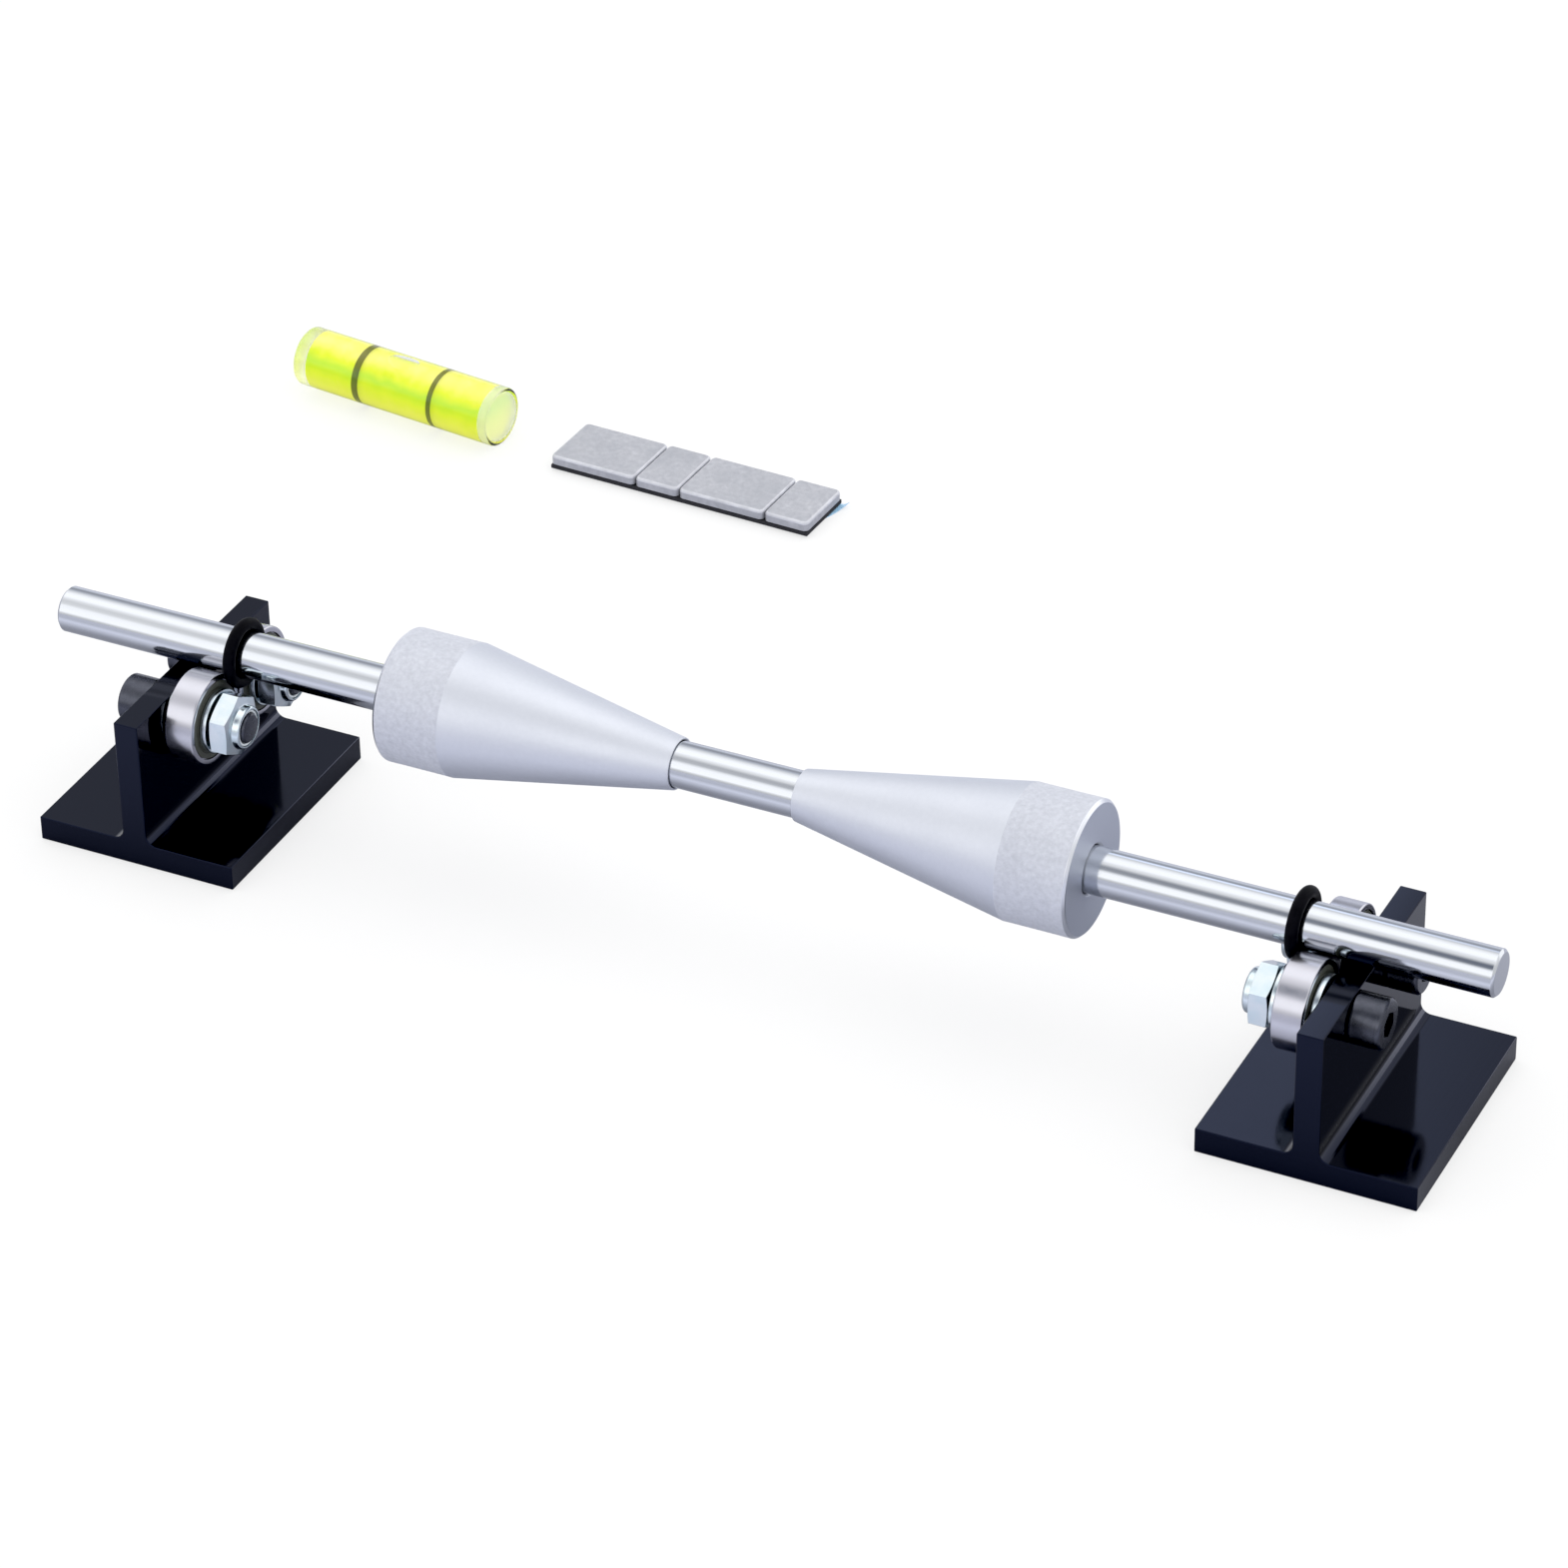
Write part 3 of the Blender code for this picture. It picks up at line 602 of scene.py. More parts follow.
def carve(shape, tool, operation="DIFFERENCE"):
    """Cuts one closed shape with another. Both are used up."""
    blanks = []
    for part in (shape, tool):
        mesh = bpy.data.meshes.new("blank")
        part.to_mesh(mesh)
        part.free()
        blanks.append(bpy.data.objects.new("blank", mesh))
        scene.collection.objects.link(blanks[-1])
    boolean = blanks[0].modifiers.new("carve", "BOOLEAN")
    boolean.object = blanks[1]
    boolean.operation = operation
    boolean.solver = "EXACT"
    carved = bmesh.new()
    carved.from_object(blanks[0], bpy.context.evaluated_depsgraph_get())
    for blank in blanks:
        mesh = blank.data
        bpy.data.objects.remove(blank)
        bpy.data.meshes.remove(mesh)
    return carved


def slice_at(shape, place, direction):
    """Cuts new edges across a shape, where a plane meets it."""
    bmesh.ops.bisect_plane(shape, geom=shape.verts[:] + shape.edges[:] + shape.faces[:],
                           plane_co=place, plane_no=direction, dist=tiny)


def mark_faces(shape, name, chosen):
    """Gives the chosen faces the value 1 in an attribute that a finish can read."""
    shape.normal_update()
    layer = shape.faces.layers.float.new(name)
    for face in shape.faces:
        face[layer] = 1.0 if chosen(face) else 0.0


print("tools ready")

# %% Tests for edges, faces and points
def is_level(edge):
    return abs(edge.verts[0].co.z - edge.verts[1].co.z) < tiny


def ends_at(edge, heights):
    """Tells whether both ends of an edge lie at one of some heights."""
    return all(min(abs(vertex.co.z - height) for height in heights) < tiny for vertex in edge.verts)


def height_of(face):
    return face.calc_center_median().z


def reach_of(face):
    """How far a face's middle lies from Z."""
    return face.calc_center_median().xy.length


def turn_at(place):
    """Where a point lies round Z, as a share of a full turn from X."""
    return Vector((1, 0)).angle_signed(place.xy) / (2 * pi)


print("tests ready")

# %% [markdown]
# A seat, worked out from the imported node, lays a turned shape on its real axis. Every piece then
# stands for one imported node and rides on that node's body, so one function makes them all, and no
# piece is ever left behind when the model moves.

# %% Seats and pieces
sharp_angle = radians(40)


def span_of(places):
    """The lowest and highest corners of some points."""
    low = Vector([min(place[axis] for place in places) for axis in range(3)])
    high = Vector([max(place[axis] for place in places) for axis in range(3)])
    return low, high


def seat_of(node, inward=1):
    """Where a turned shape goes to lie on a node's axis, with the node's length and radius.

    Inward is 1 where the shape's Z runs towards +X, and -1 where it runs towards -X."""
    low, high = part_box(node)
    middle = (low + high) / 2
    start = low.x if inward > 0 else high.x
    place = Matrix.Translation((start, middle.y, middle.z)) @ Matrix.Rotation(inward * pi / 2, 4, "Y")
    return place, high.x - low.x, (high.z - low.z) / 2


def add_piece(shape, finish, node, place=None):
    """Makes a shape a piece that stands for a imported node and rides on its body."""
    if place:
        bmesh.ops.transform(shape, matrix=place, verts=shape.verts)
    name = node + "_dressed"
    mesh = bpy.data.meshes.new(name)
    shape.to_mesh(mesh)
    shape.free()
    mesh.shade_smooth()
    mesh.set_sharp_from_angle(angle=sharp_angle)
    mesh.materials.append(finish.material)
    piece = bpy.data.objects.new(name, mesh)
    scene.collection.objects.link(piece)
    weighted = piece.modifiers.new("face weighted normals", "WEIGHTED_NORMAL")
    weighted.keep_sharp = True
    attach(piece, frame["nodes"][node]["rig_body"])
    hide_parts(node)
    low, high = span_of([vertex.co for vertex in mesh.vertices])
    print(f"{name}: {' x '.join(f'{span / mm:.1f}' for span in high - low)} mm,"
          f" {len(mesh.polygons)} faces")


print("seats ready")

# %% [markdown]
# ## The shaft
#
# The shaft is a bar of ground and polished steel. Its finish is close to a mirror, but a grinder's
# fine rings run round it and spread each reflection a little along the bar. A perfect chrome would
# look like plastic, so the roughness varies with those rings and with faint finger marks.

# %% Ground steel
ring_roughness = 0.05                # the most that the grinder's rings add

shaft_seat, shaft_length, shaft_radius = seat_of("balancing_shaft")
shaft_axis = shaft_seat.to_translation()
ground_steel = Recipe("ground_steel", (0.545, 0.565, 0.60), 1.0, 0.08, centre=shaft_axis)
rings = ground_steel.group(tool_lines, Spacing=0.25 * mm)
finger_marks = ground_steel.uneven(0.05, 0.11, size=25 * mm)
ground_steel.feed("Roughness", calculate(
    ground_steel.tree, "MULTIPLY_ADD", rings, ring_roughness, finger_marks))
ground_steel.bump(rings, depth=0.0004 * mm)
print("shaft radius in mm:", round(shaft_radius / mm, 3))

# %% Shaft
shaft_chamfer = 0.7 * mm
shaft_roll = 0.08 * mm

shape = chamfered_rod(shaft_radius, shaft_length, shaft_chamfer, steps=128)
add_piece(roll_edges(shape, shaft_roll, 2), ground_steel, "balancing_shaft", shaft_seat)

# %% [markdown]
# ## The cones
#
# Each cone is turned from aluminium and blasted to a satin before it is anodised, so it has no sharp
# reflection, only broad soft ones. The broad end face is painted darker and cooler than the flank, as
# painted shade. Its chamfer is smoother and painted paler, a painted highlight that makes it the
# brightest line on the cone. Marks on the faces tell the finish where it changes.

# %% Satin aluminium
grip_roughness = 0.26                # more than on the flank
rim_roughness = -0.20                # less than on the flank

satin = Recipe("satin_aluminium", (0.61, 0.63, 0.685), 1.0, 0.52, centre=shaft_axis)
# The end face gets painted shade and the rim chamfer a painted highlight.
grip, end_face_shade, rim_highlight = [satin.marked(mark) for mark in ("grip", "end_face_shade", "rim_highlight")]
matt = satin.uneven(0.48, 0.56, size=20 * mm)
matt = calculate(satin.tree, "MULTIPLY_ADD", grip, grip_roughness, matt)
satin.feed("Roughness", calculate(satin.tree, "MULTIPLY_ADD", rim_highlight, rim_roughness, matt))
dull = satin.uneven(0.0, 1.0, size=1.2 * mm)
flank = satin.blend(dull, satin.color, (0.59, 0.61, 0.665))
knurled = satin.blend(dull, (0.68, 0.695, 0.745), (0.59, 0.605, 0.655))
color = satin.blend(grip, flank, knurled)
# Painted shade: the broad end face is darker and bluer.
color = satin.blend(end_face_shade, color, (0.50, 0.53, 0.61))
# Painted highlight: the rim chamfer is paler.
satin.feed("Base Color", satin.blend(rim_highlight, color, (0.66, 0.68, 0.73)))
grain = satin.bump(satin.group(blasting, Size=0.25 * mm), depth=0.004 * mm)
satin.bump(satin.group(tool_lines, Spacing=0.35 * mm), depth=0.0012 * mm, under=grain)

# %% [markdown]
# The grip band carries a fine diamond knurl. A bump texture would vanish from the saved mesh, so the
# knurl is real: the band is spun with many rows and columns, every other vertex is pushed in like the
# squares of a chessboard, and the valleys are joined by diagonals, which leaves rows of little
# pyramids. Blasting softens them, so their depth varies.

# %% Cone sizes
band_length = 18.7 * mm
knurl_low = 3.2 * mm                 # from the broad end, as are all heights on a cone
knurl_high = 18.4 * mm
knurl_pitch = 1.4 * mm
knurl_depth = 0.13 * mm
knurl_wear = 0.4                     # how much the depth varies, as a share of it
rim_chamfer = 0.8 * mm
mouth_chamfer = 0.6 * mm
tip_wall = 0.5 * mm
cone_roll = 0.15 * mm
cone_fit = 0.2 * mm
screw_hole_radius = 3.2 * mm

knurl_rows = 2 * round((knurl_high - knurl_low) / knurl_pitch)
knurl_row = (knurl_high - knurl_low) / knurl_rows
cone_radius = seat_of("left_cone")[2]
knurl_columns = 2 * round(2 * pi * cone_radius / knurl_pitch)
print("knurl:", knurl_rows, "rows by", knurl_columns, "columns")

# %% Knurled cone shape
row_slack = 0.1                      # of a row, past the first one and the last


def press_knurl(shape):
    """Pushes every other vertex of the band inwards and joins the valleys by diagonals."""
    valleys = []
    for vertex in shape.verts:
        radius = vertex.co.xy.length
        row = (vertex.co.z - knurl_low) / knurl_row
        in_rows = -row_slack < row < knurl_rows + row_slack
        if not in_rows or radius < cone_radius - mouth_chamfer:
            continue
        row = round(row)
        column = round(turn_at(vertex.co) * knurl_columns)
        if (row + column) % 2:
            valleys.append(vertex)
            if 0 < row < knurl_rows:
                worn = 1 + knurl_wear * noise.cell(Vector((column + 0.5, row + 0.5, 0.5)))
                vertex.co.xy *= 1 - knurl_depth * worn / radius
    bmesh.ops.connect_verts(shape, verts=valleys)


def cone_shape(length):
    bore = shaft_radius + cone_fit
    band = [(cone_radius, knurl_high - row * knurl_row) for row in range(knurl_rows + 1)]
    outline = [(bore, length), (bore + tip_wall, length), (cone_radius, band_length)] + band
    outline += [(cone_radius, rim_chamfer), (cone_radius - rim_chamfer, 0),
                (bore + mouth_chamfer, 0), (bore, mouth_chamfer)]
    shape = turned(outline, closed=True, steps=knurl_columns)
    roll_edges(shape, cone_roll, 2)
    press_knurl(shape)
    return shape


print("cone shape ready")

# %% Cones
end_slope = 0.95                     # a face whose normal points down more than this is the end face
rim_slope = 0.2                      # and one that points down more than this may be the chamfer
band_slope = 0.5                     # a face whose normal is more level than this lies on the band

for node, inward in (("left_cone", 1), ("right_cone", -1)):
    place, length, radius = seat_of(node, inward)
    hole = rod(screw_hole_radius, 0, 2 * cone_radius, steps=48)
    down = Matrix.Translation((0, 0, band_length / 2)) @ Matrix.Rotation(inward * pi / 2, 4, "Y")
    bmesh.ops.transform(hole, matrix=down, verts=hole.verts)
    shape = carve(cone_shape(length), hole)
    near_edge = radius - rim_chamfer
    # Marks the end face for its painted shade and the rim chamfer for its painted highlight.
    mark_faces(shape, "end_face_shade", lambda face: face.normal.z < -end_slope)
    mark_faces(shape, "rim_highlight", lambda face: -end_slope < face.normal.z < -rim_slope
               and height_of(face) < rim_chamfer + tiny and reach_of(face) > near_edge - tiny)
    mark_faces(shape, "grip", lambda face: abs(face.normal.z) < band_slope
               and rim_chamfer < height_of(face) < knurl_high and reach_of(face) > near_edge)
    add_piece(shape, satin, node, place)

# %% [markdown]
# ## The set screws
#
# A headless screw in each band locks its cone to the shaft. It hangs on the underside, where the
# photograph doesn't look, and it is black steel with a small hexagon socket.

# %% Black oxide steel
black_steel = Recipe("black_oxide", (0.058, 0.062, 0.078), 1.0, 0.26)
black_steel.feed("Roughness", black_steel.uneven(0.20, 0.32, size=3 * mm))
oxide = black_steel.drift((0.080, 0.084, 0.104), size=2 * mm)
edge_wear_and_rim_highlight = black_steel.group(worn_edges, Width=0.25 * mm, Breakup=1.5 * mm)
black_steel.feed("Base Color", black_steel.blend(edge_wear_and_rim_highlight, oxide, (0.19, 0.195, 0.21)))
black_steel.bump(black_steel.group(blasting, Size=0.18 * mm), depth=0.0015 * mm)

# %% Set screws
socket_flats = 3.0 * mm
socket_depth = 3.0 * mm
screw_chamfer = 0.6 * mm
screw_roll = 0.08 * mm
overrun = 1.0 * mm                   # how far a tool reaches past the face that it cuts

for node in ("left_set_screw", "right_set_screw"):
    low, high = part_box(node)
    length = high.z - low.z
    shape = chamfered_rod((high.y - low.y) / 2, length, screw_chamfer, steps=64)
    roll_edges(shape, screw_roll, 2)
    shape = carve(shape, prism(6, socket_flats, length - socket_depth, length + overrun))
    middle = (low + high) / 2
    hanging = Matrix.Translation((middle.x, middle.y, high.z)) @ Matrix.Rotation(pi, 4, "X")
    add_piece(shape, black_steel, node, hanging)

# %% [markdown]
# ## The rubber rings
#
# An O-ring on each side of the cones stops the shaft from wandering off its bearings. A moulded ring
# is a circle spun about the shaft. It is drawn to grip the shaft, as stretched rubber does, with the
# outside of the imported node.

# %% Black rubber
rubber = Recipe("black_rubber", (0.002, 0.002, 0.003), 0.0, 0.42)
rubber.set("Specular IOR Level", 0.04)
rubber.feed("Roughness", rubber.uneven(0.40, 0.56, size=4 * mm))
rubber.feed("Base Color", rubber.drift((0.004, 0.004, 0.006), size=2 * mm))
rubber.bump(rubber.group(blasting, Size=0.12 * mm), depth=0.004 * mm)

# %% Rubber rings
grip_gap = 0.02 * mm
for node in ("left_shaft_ring", "right_shaft_ring"):
    place, width, outside = seat_of(node)
    inside = shaft_radius + grip_gap
    shape = bmesh.new()
    circle = bmesh.ops.create_circle(
        shape, segments=32, radius=(outside - inside) / 2,
        matrix=Matrix.Translation(((inside + outside) / 2, 0, width / 2))
        @ Matrix.Rotation(pi / 2, 4, "X"))
    bmesh.ops.spin(shape, geom=circle["verts"] + shape.edges[:], cent=(0, 0, 0), axis=(0, 0, 1),
                   angle=2 * pi, steps=96, use_merge=True)
    bmesh.ops.recalc_face_normals(shape, faces=shape.faces)
    add_piece(shape, rubber, node, place)

# %% [markdown]
# ## The stands
#
# Each stand is a length of extruded aluminium T, sawn off, drilled and anodised black. Black
# anodising is glossy: most of what is seen on it is the reflection of the studio, over a dark
# blue-black. Its sharp edges are rubbed a little grey, and the die left faint lines along it. The root
# fillets carry a painted highlight, a paler line that fades out towards the front.

# %% Black anodised aluminium
die_stretch = (1, 0.02, 1)           # draws the grain out into lines along the extrusion
fillet_highlight_fade = 24 * mm                  # before and behind the shaft's axis
rubbed_share = 0.8

anodised = Recipe("black_anodised", (0.0006, 0.0007, 0.0014), 0.0, 0.08)
anodised.set("Specular IOR Level", 0.27)
anodised.set("Specular Tint", (0.40, 0.50, 1.0, 1))
anodised.feed("Roughness", anodised.uneven(0.06, 0.11, size=14 * mm))
# Painted highlight: a paler line on the root fillets, fading out towards the front.
from_front = remap(anodised.tree, anodised.coordinate("Y"), -fillet_highlight_fade, fillet_highlight_fade)
fillet_highlight = product(anodised.tree, anodised.marked("root"), from_front)
fillet_highlight_color = anodised.blend(fillet_highlight, anodised.color, (0.095, 0.097, 0.115))
worn = anodised.group(worn_edges, Width=0.35 * mm, Breakup=2.5 * mm)
edge_wear_and_rim_highlight = product(anodised.tree, worn, rubbed_share)
anodised.feed("Base Color", anodised.blend(edge_wear_and_rim_highlight, fillet_highlight_color, (0.055, 0.06, 0.08)))
along_die = add_node(anodised.tree, "ShaderNodeMapping", {
    "Vector": anodised.place, "Scale": die_stretch}).outputs[0]
anodised.bump(anodised.group(blasting, Vector=along_die, Size=0.5 * mm), depth=0.0008 * mm)

# %% [markdown]
# Extruding a drawn outline would make the T, but growing the web out of the foot shows the way such a
# part is thought of: a flat bar is split in three, its middle is pulled up, and the root gets its
# fillet. The holes for the bolts are drilled afterwards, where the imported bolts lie.

# %% Stand shape
foot_thickness = 6.8 * mm
web_thickness = 6.8 * mm
root_fillet = 2.8 * mm
edge_roll = 0.3 * mm


def stand_shape(node):
    low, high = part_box(node)
    middle = (low + high) / 2
    foot_top = low.z + foot_thickness
    shape = block(low, Vector((high.x, high.y, foot_top)))
    for side in (-1, 1):
        slice_at(shape, (middle.x + side * web_thickness / 2, 0, 0), (1, 0, 0))
    shape.normal_update()
    strip = [face for face in shape.faces
             if face.normal.z > 0.9 and abs(face.calc_center_median().x - middle.x) < tiny]
    grown = bmesh.ops.extrude_face_region(shape, geom=strip)
    raised = [part for part in grown["geom"] if isinstance(part, bmesh.types.BMVert)]
    bmesh.ops.translate(shape, verts=raised, vec=(0, 0, high.z - foot_top))
    bmesh.ops.delete(shape, geom=[face for face in strip if face.is_valid], context="FACES_ONLY")
    bmesh.ops.dissolve_limit(shape, angle_limit=radians(1), verts=shape.verts, edges=shape.edges)
    bmesh.ops.recalc_face_normals(shape, faces=shape.faces)

    def is_root(edge):
        return ends_at(edge, [foot_top]) and all(
            abs(abs(vertex.co.x - middle.x) - web_thickness / 2) < tiny for vertex in edge.verts)

    roll_edges(shape, root_fillet, 8, chosen=is_root)
    return roll_edges(shape, edge_roll, 3, sharper_than=60)


print("stand shape ready")

# %% Stands
bolt_hole_radius = 4.1 * mm
drill_length = 24 * mm               # from the screw head's outer face, past the web
fillet_highlight_slopes = (0.5, 0.87)            # the fillet's faces in the paler line, by their normal's X

for side, inward in (("left", 1), ("right", -1)):
    node = side + "_stand"
    shape = stand_shape(node)
    for row in ("near", "far"):
        drill = rod(bolt_hole_radius, 0, drill_length, steps=48)
        place = seat_of(f"{side}_{row}_cap_screw", inward)[0]
        bmesh.ops.transform(drill, matrix=place, verts=drill.verts)
        shape = carve(shape, drill)
    root_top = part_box(node)[0].z + foot_thickness + root_fillet
    # Marks the fillet faces that carry the painted highlight.
    mark_faces(shape, "root", lambda face: fillet_highlight_slopes[0] < abs(face.normal.x) < fillet_highlight_slopes[1]
               and face.normal.z > 0 and height_of(face) < root_top)
    add_piece(shape, anodised, node)

# %% [markdown]
# ## The bearing stations
#
# Four bolts carry a ball bearing each. On every bolt sit, from the web towards the cones: a spacer
# washer, the bearing, a second washer, and a lock nut whose nylon ring shows inside its collar. The
# stations are alike, so each shape is made by a function and laid on four seats.

# %% Stations
stations = [(f"{side}_{row}", inward) for side, inward in (("left", 1), ("right", -1))
            for row in ("near", "far")]


def fit_stations(suffix, shape_of, finish, facing=1):
    """Makes a piece at each station. Its shape follows from the node's length and radius.

    Facing is 1 where the shape's Z runs towards the cones, and -1 where it runs away from them."""
    for name, inward in stations:
        place, length, radius = seat_of(name + suffix, inward * facing)
        add_piece(shape_of(length, radius), finish, name + suffix, place)


print("stations:", [name for name, inward in stations])

# %% [markdown]
# The bolts are black cap screws. The head has a ring of straight knurling for the fingers, a rolled
# rim and a hexagon socket with a drilled, pointed floor.

# %% Cap screws
head_height = 8.0 * mm
head_rim = 0.6 * mm
head_roll = 0.12 * mm
head_knurl_low = 1.4 * mm
head_knurl_high = 7.2 * mm
head_knurl_run_out = 0.25 * mm
head_knurl_depth = 0.05 * mm
head_columns = 132
head_socket_flats = 6.0 * mm
head_socket_depth = 4.0 * mm
drill_inset = 0.1 * mm               # inside the socket's flats, and above its floor
drill_point = 1.2 * mm               # below the socket's floor
shank_radius = 3.9 * mm
shank_chamfer = 0.45 * mm


def cap_screw_shape(length, radius):
    outline = [(0, 0), (radius - head_rim, 0), (radius, head_rim), (radius, head_knurl_low),
               (radius, head_knurl_low + head_knurl_run_out),
               (radius, head_knurl_high - head_knurl_run_out), (radius, head_knurl_high),
               (radius, head_height), (shank_radius, head_height),
               (shank_radius, length - shank_chamfer), (shank_radius - shank_chamfer, length),
               (0, length)]
    shape = turned(outline, steps=head_columns)
    for vertex in shape.verts:
        on_knurl = head_knurl_low + tiny < vertex.co.z < head_knurl_high - tiny
        if on_knurl and vertex.co.xy.length > radius - tiny:
            if round(turn_at(vertex.co) * head_columns) % 2:
                vertex.co.xy *= 1 - head_knurl_depth / radius
    rims = (0, head_rim, head_height, length - shank_chamfer, length)
    roll_edges(shape, head_roll, 2, chosen=lambda edge: ends_at(edge, rims) and is_level(edge))
    shape = carve(shape, prism(6, head_socket_flats, -overrun, head_socket_depth))
    drill_start = head_socket_depth - drill_inset
    point = turned([(0, drill_start), (head_socket_flats / 2 - drill_inset, drill_start),
                    (0, head_socket_depth + drill_point)], steps=48)
    return carve(shape, point)


fit_stations("_cap_screw", cap_screw_shape, black_steel)

# %% [markdown]
# Washers and nuts are zinc plated, then dipped in a clear blue chromate, which gives bright steel its
# cold, faintly green-blue tint. The plating is never even, so the tint drifts from patch to patch.

# %% Zinc plate
zinc_plate = Recipe("zinc_plated", (0.66, 0.70, 0.73), 1.0, 0.17)
zinc_plate.feed("Base Color", zinc_plate.drift((0.54, 0.64, 0.69), size=5 * mm))
zinc_plate.feed("Roughness", zinc_plate.uneven(0.12, 0.22, size=2.5 * mm))
zinc_plate.bump(zinc_plate.group(blasting, Size=0.4 * mm), depth=0.0012 * mm)

# %% Washers
bolt_bore = 4.1 * mm
washer_roll = 0.22 * mm


def washer_shape(thickness, radius):
    return roll_edges(ring(bolt_bore, radius, 0, thickness), washer_roll, 3)


fit_stations("_spacer_washer", washer_shape, zinc_plate)
fit_stations("_nut_washer", washer_shape, zinc_plate)

# %% [markdown]
# A lock nut is a hexagon bar, faced on a lathe. The lathe cuts a cone at each end, and where that
# cone meets the flats it leaves the curved arcs that every nut has. So the nut is made in the same
# way: a hexagon prism is intersected with a turned blank. Its thin collar is rolled over the nylon.

# %% Lock nuts
hex_height = 5.6 * mm
hex_bevel = 0.6 * mm                 # how far the turned cones reach down the corners
hex_face_radius = 6.2 * mm
collar_radius = 5.7 * mm
collar_foot = 0.2 * mm               # height of the slope between the hexagon and the collar
collar_wall = 0.7 * mm
collar_roll = 0.8 * mm
crown_steps = 6
lip_hook = 0.1 * mm                  # how far the rolled lip reaches in, and how thick it is there
lip_depth = 0.5 * mm
nut_roll = 0.1 * mm


def lock_nut_shape(height, radius):
    corner = radius / cos(pi / 6) + tiny
    lip = collar_radius - collar_wall
    quarters = [pi / 2 * step / crown_steps for step in range(crown_steps + 1)]
    crown = [(collar_radius - collar_roll * (1 - cos(angle)), height - collar_roll * (1 - sin(angle)))
             for angle in quarters]
    hexagon = [(bolt_bore, 0), (hex_face_radius, 0), (corner, hex_bevel),
               (corner, hex_height - hex_bevel), (hex_face_radius, hex_height)]
    mouth = [(lip - lip_hook, height - lip_hook), (lip, height - lip_depth), (lip, hex_height),
             (bolt_bore, hex_height)]
    blank = turned(hexagon + [(collar_radius, hex_height + collar_foot)] + crown + mouth, closed=True)
    nut = carve(prism(6, 2 * radius, -overrun, height + overrun), blank, "INTERSECT")
    return roll_edges(nut, nut_roll, 2, sharper_than=50)


fit_stations("_lock_nut", lock_nut_shape, zinc_plate)

# %% [markdown]
# The insert is what makes the nut lock: the bolt has to press its way through it. Nylon lets a little
# light in and scatters it, so a plain white would look like chalk. Subsurface scattering softens it.

# %% White nylon inserts
insert_roll = 0.3 * mm

nylon = Recipe("white_nylon", (0.78, 0.83, 0.86), 0.0, 0.38)
nylon.set("Subsurface Weight", 0.3)
nylon.set("Subsurface Radius", (0.6, 0.6, 0.6))
nylon.set("Subsurface Scale", 1.0 * mm)
nylon.feed("Roughness", nylon.uneven(0.32, 0.46, size=1.5 * mm))
nylon.bump(nylon.group(blasting, Size=0.3 * mm), depth=0.004 * mm)
fit_stations("_nylon_insert", lambda height, radius: roll_edges(
    ring(bolt_bore, radius, 0, height), insert_roll, 3), nylon)

# %% [markdown]
# ## The ball bearings
#
# Seen from outside, a bearing is a bright ground ring, a narrow flat face and a dark seal. But when
# it is taken apart it has a grooved outer race, a grooved inner race, and seven balls in a cage, so
# all of these are made. Each groove is a true arc, a little larger than the ball, as a real one is.

# %% Bearing steel
race_steel = Recipe("bearing_steel", (0.49, 0.49, 0.54), 1.0, 0.22)
race_steel.feed("Roughness", race_steel.uneven(0.17, 0.26, size=5 * mm))
race_steel.bump(race_steel.group(blasting, Size=0.2 * mm), depth=0.001 * mm)

# %% Bearing sizes
ball_share = 0.557                   # of the room between the bore and the outside
land_share = 0.215
seal_step_share = 0.101
groove_play = 0.4 * mm
seal_room = 1.0 * mm                 # depth of the seal's seat, from the bearing's face

race_outside = seat_of("left_near_outer_race")[2]
race_room = race_outside - bolt_bore
ball_circle = (race_outside + bolt_bore) / 2
ball_radius = race_room * ball_share / 2
land_offset = race_room * land_share
groove_radius = ball_radius + groove_play
print("ball diameter in mm:", round(2 * ball_radius / mm, 2))

# %% Races
race_roll = 0.5 * mm
seat_roll = 0.1 * mm
inner_roll = 0.15 * mm


def groove(side, middle, steps=12):
    """The arc of a raceway about the ball circle: side 1 is the outer race's and -1 the inner's."""
    reach = acos(land_offset / groove_radius)
    angles = [reach * (2 * step / steps - 1) for step in range(steps + 1)]
    return [(ball_circle + side * groove_radius * cos(angle), middle + groove_radius * sin(angle))
            for angle in angles]


def outer_race_shape(width, radius):
    land = ball_circle + land_offset
    step = land + race_room * seal_step_share
    near_seat = [(radius, 0), (step, 0), (step, seal_room), (land, seal_room)]
    far_seat = [(distance, width - height) for distance, height in reversed(near_seat)]
    shape = turned(near_seat + groove(1, width / 2) + far_seat, closed=True)
    roll_edges(shape, race_roll, 4, sharper_than=60, chosen=lambda edge: all(
        vertex.co.xy.length > radius - tiny for vertex in edge.verts))
    return roll_edges(shape, seat_roll, 2, sharper_than=60)


def inner_race_shape(width, radius):
    outline = [(bolt_bore, 0), (radius, 0)] + groove(-1, width / 2)
    outline += [(radius, width), (bolt_bore, width)]
    return roll_edges(turned(outline, closed=True), inner_roll, 2, sharper_than=60)


fit_stations("_outer_race", outer_race_shape, race_steel)
fit_stations("_inner_race", lambda width, radius: inner_race_shape(
    width, ball_circle - land_offset), race_steel)

# %% [markdown]
# The cage is pressed from sheet and keeps the balls an even way apart. Here the balls and the cage are
# one closed shape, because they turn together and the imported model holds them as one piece.

# %% Ball sets
balls = 7
cage_share = 0.127                   # of the race's room
cage_low_share = 0.3                 # of the bearing's width
cage_high_share = 0.7


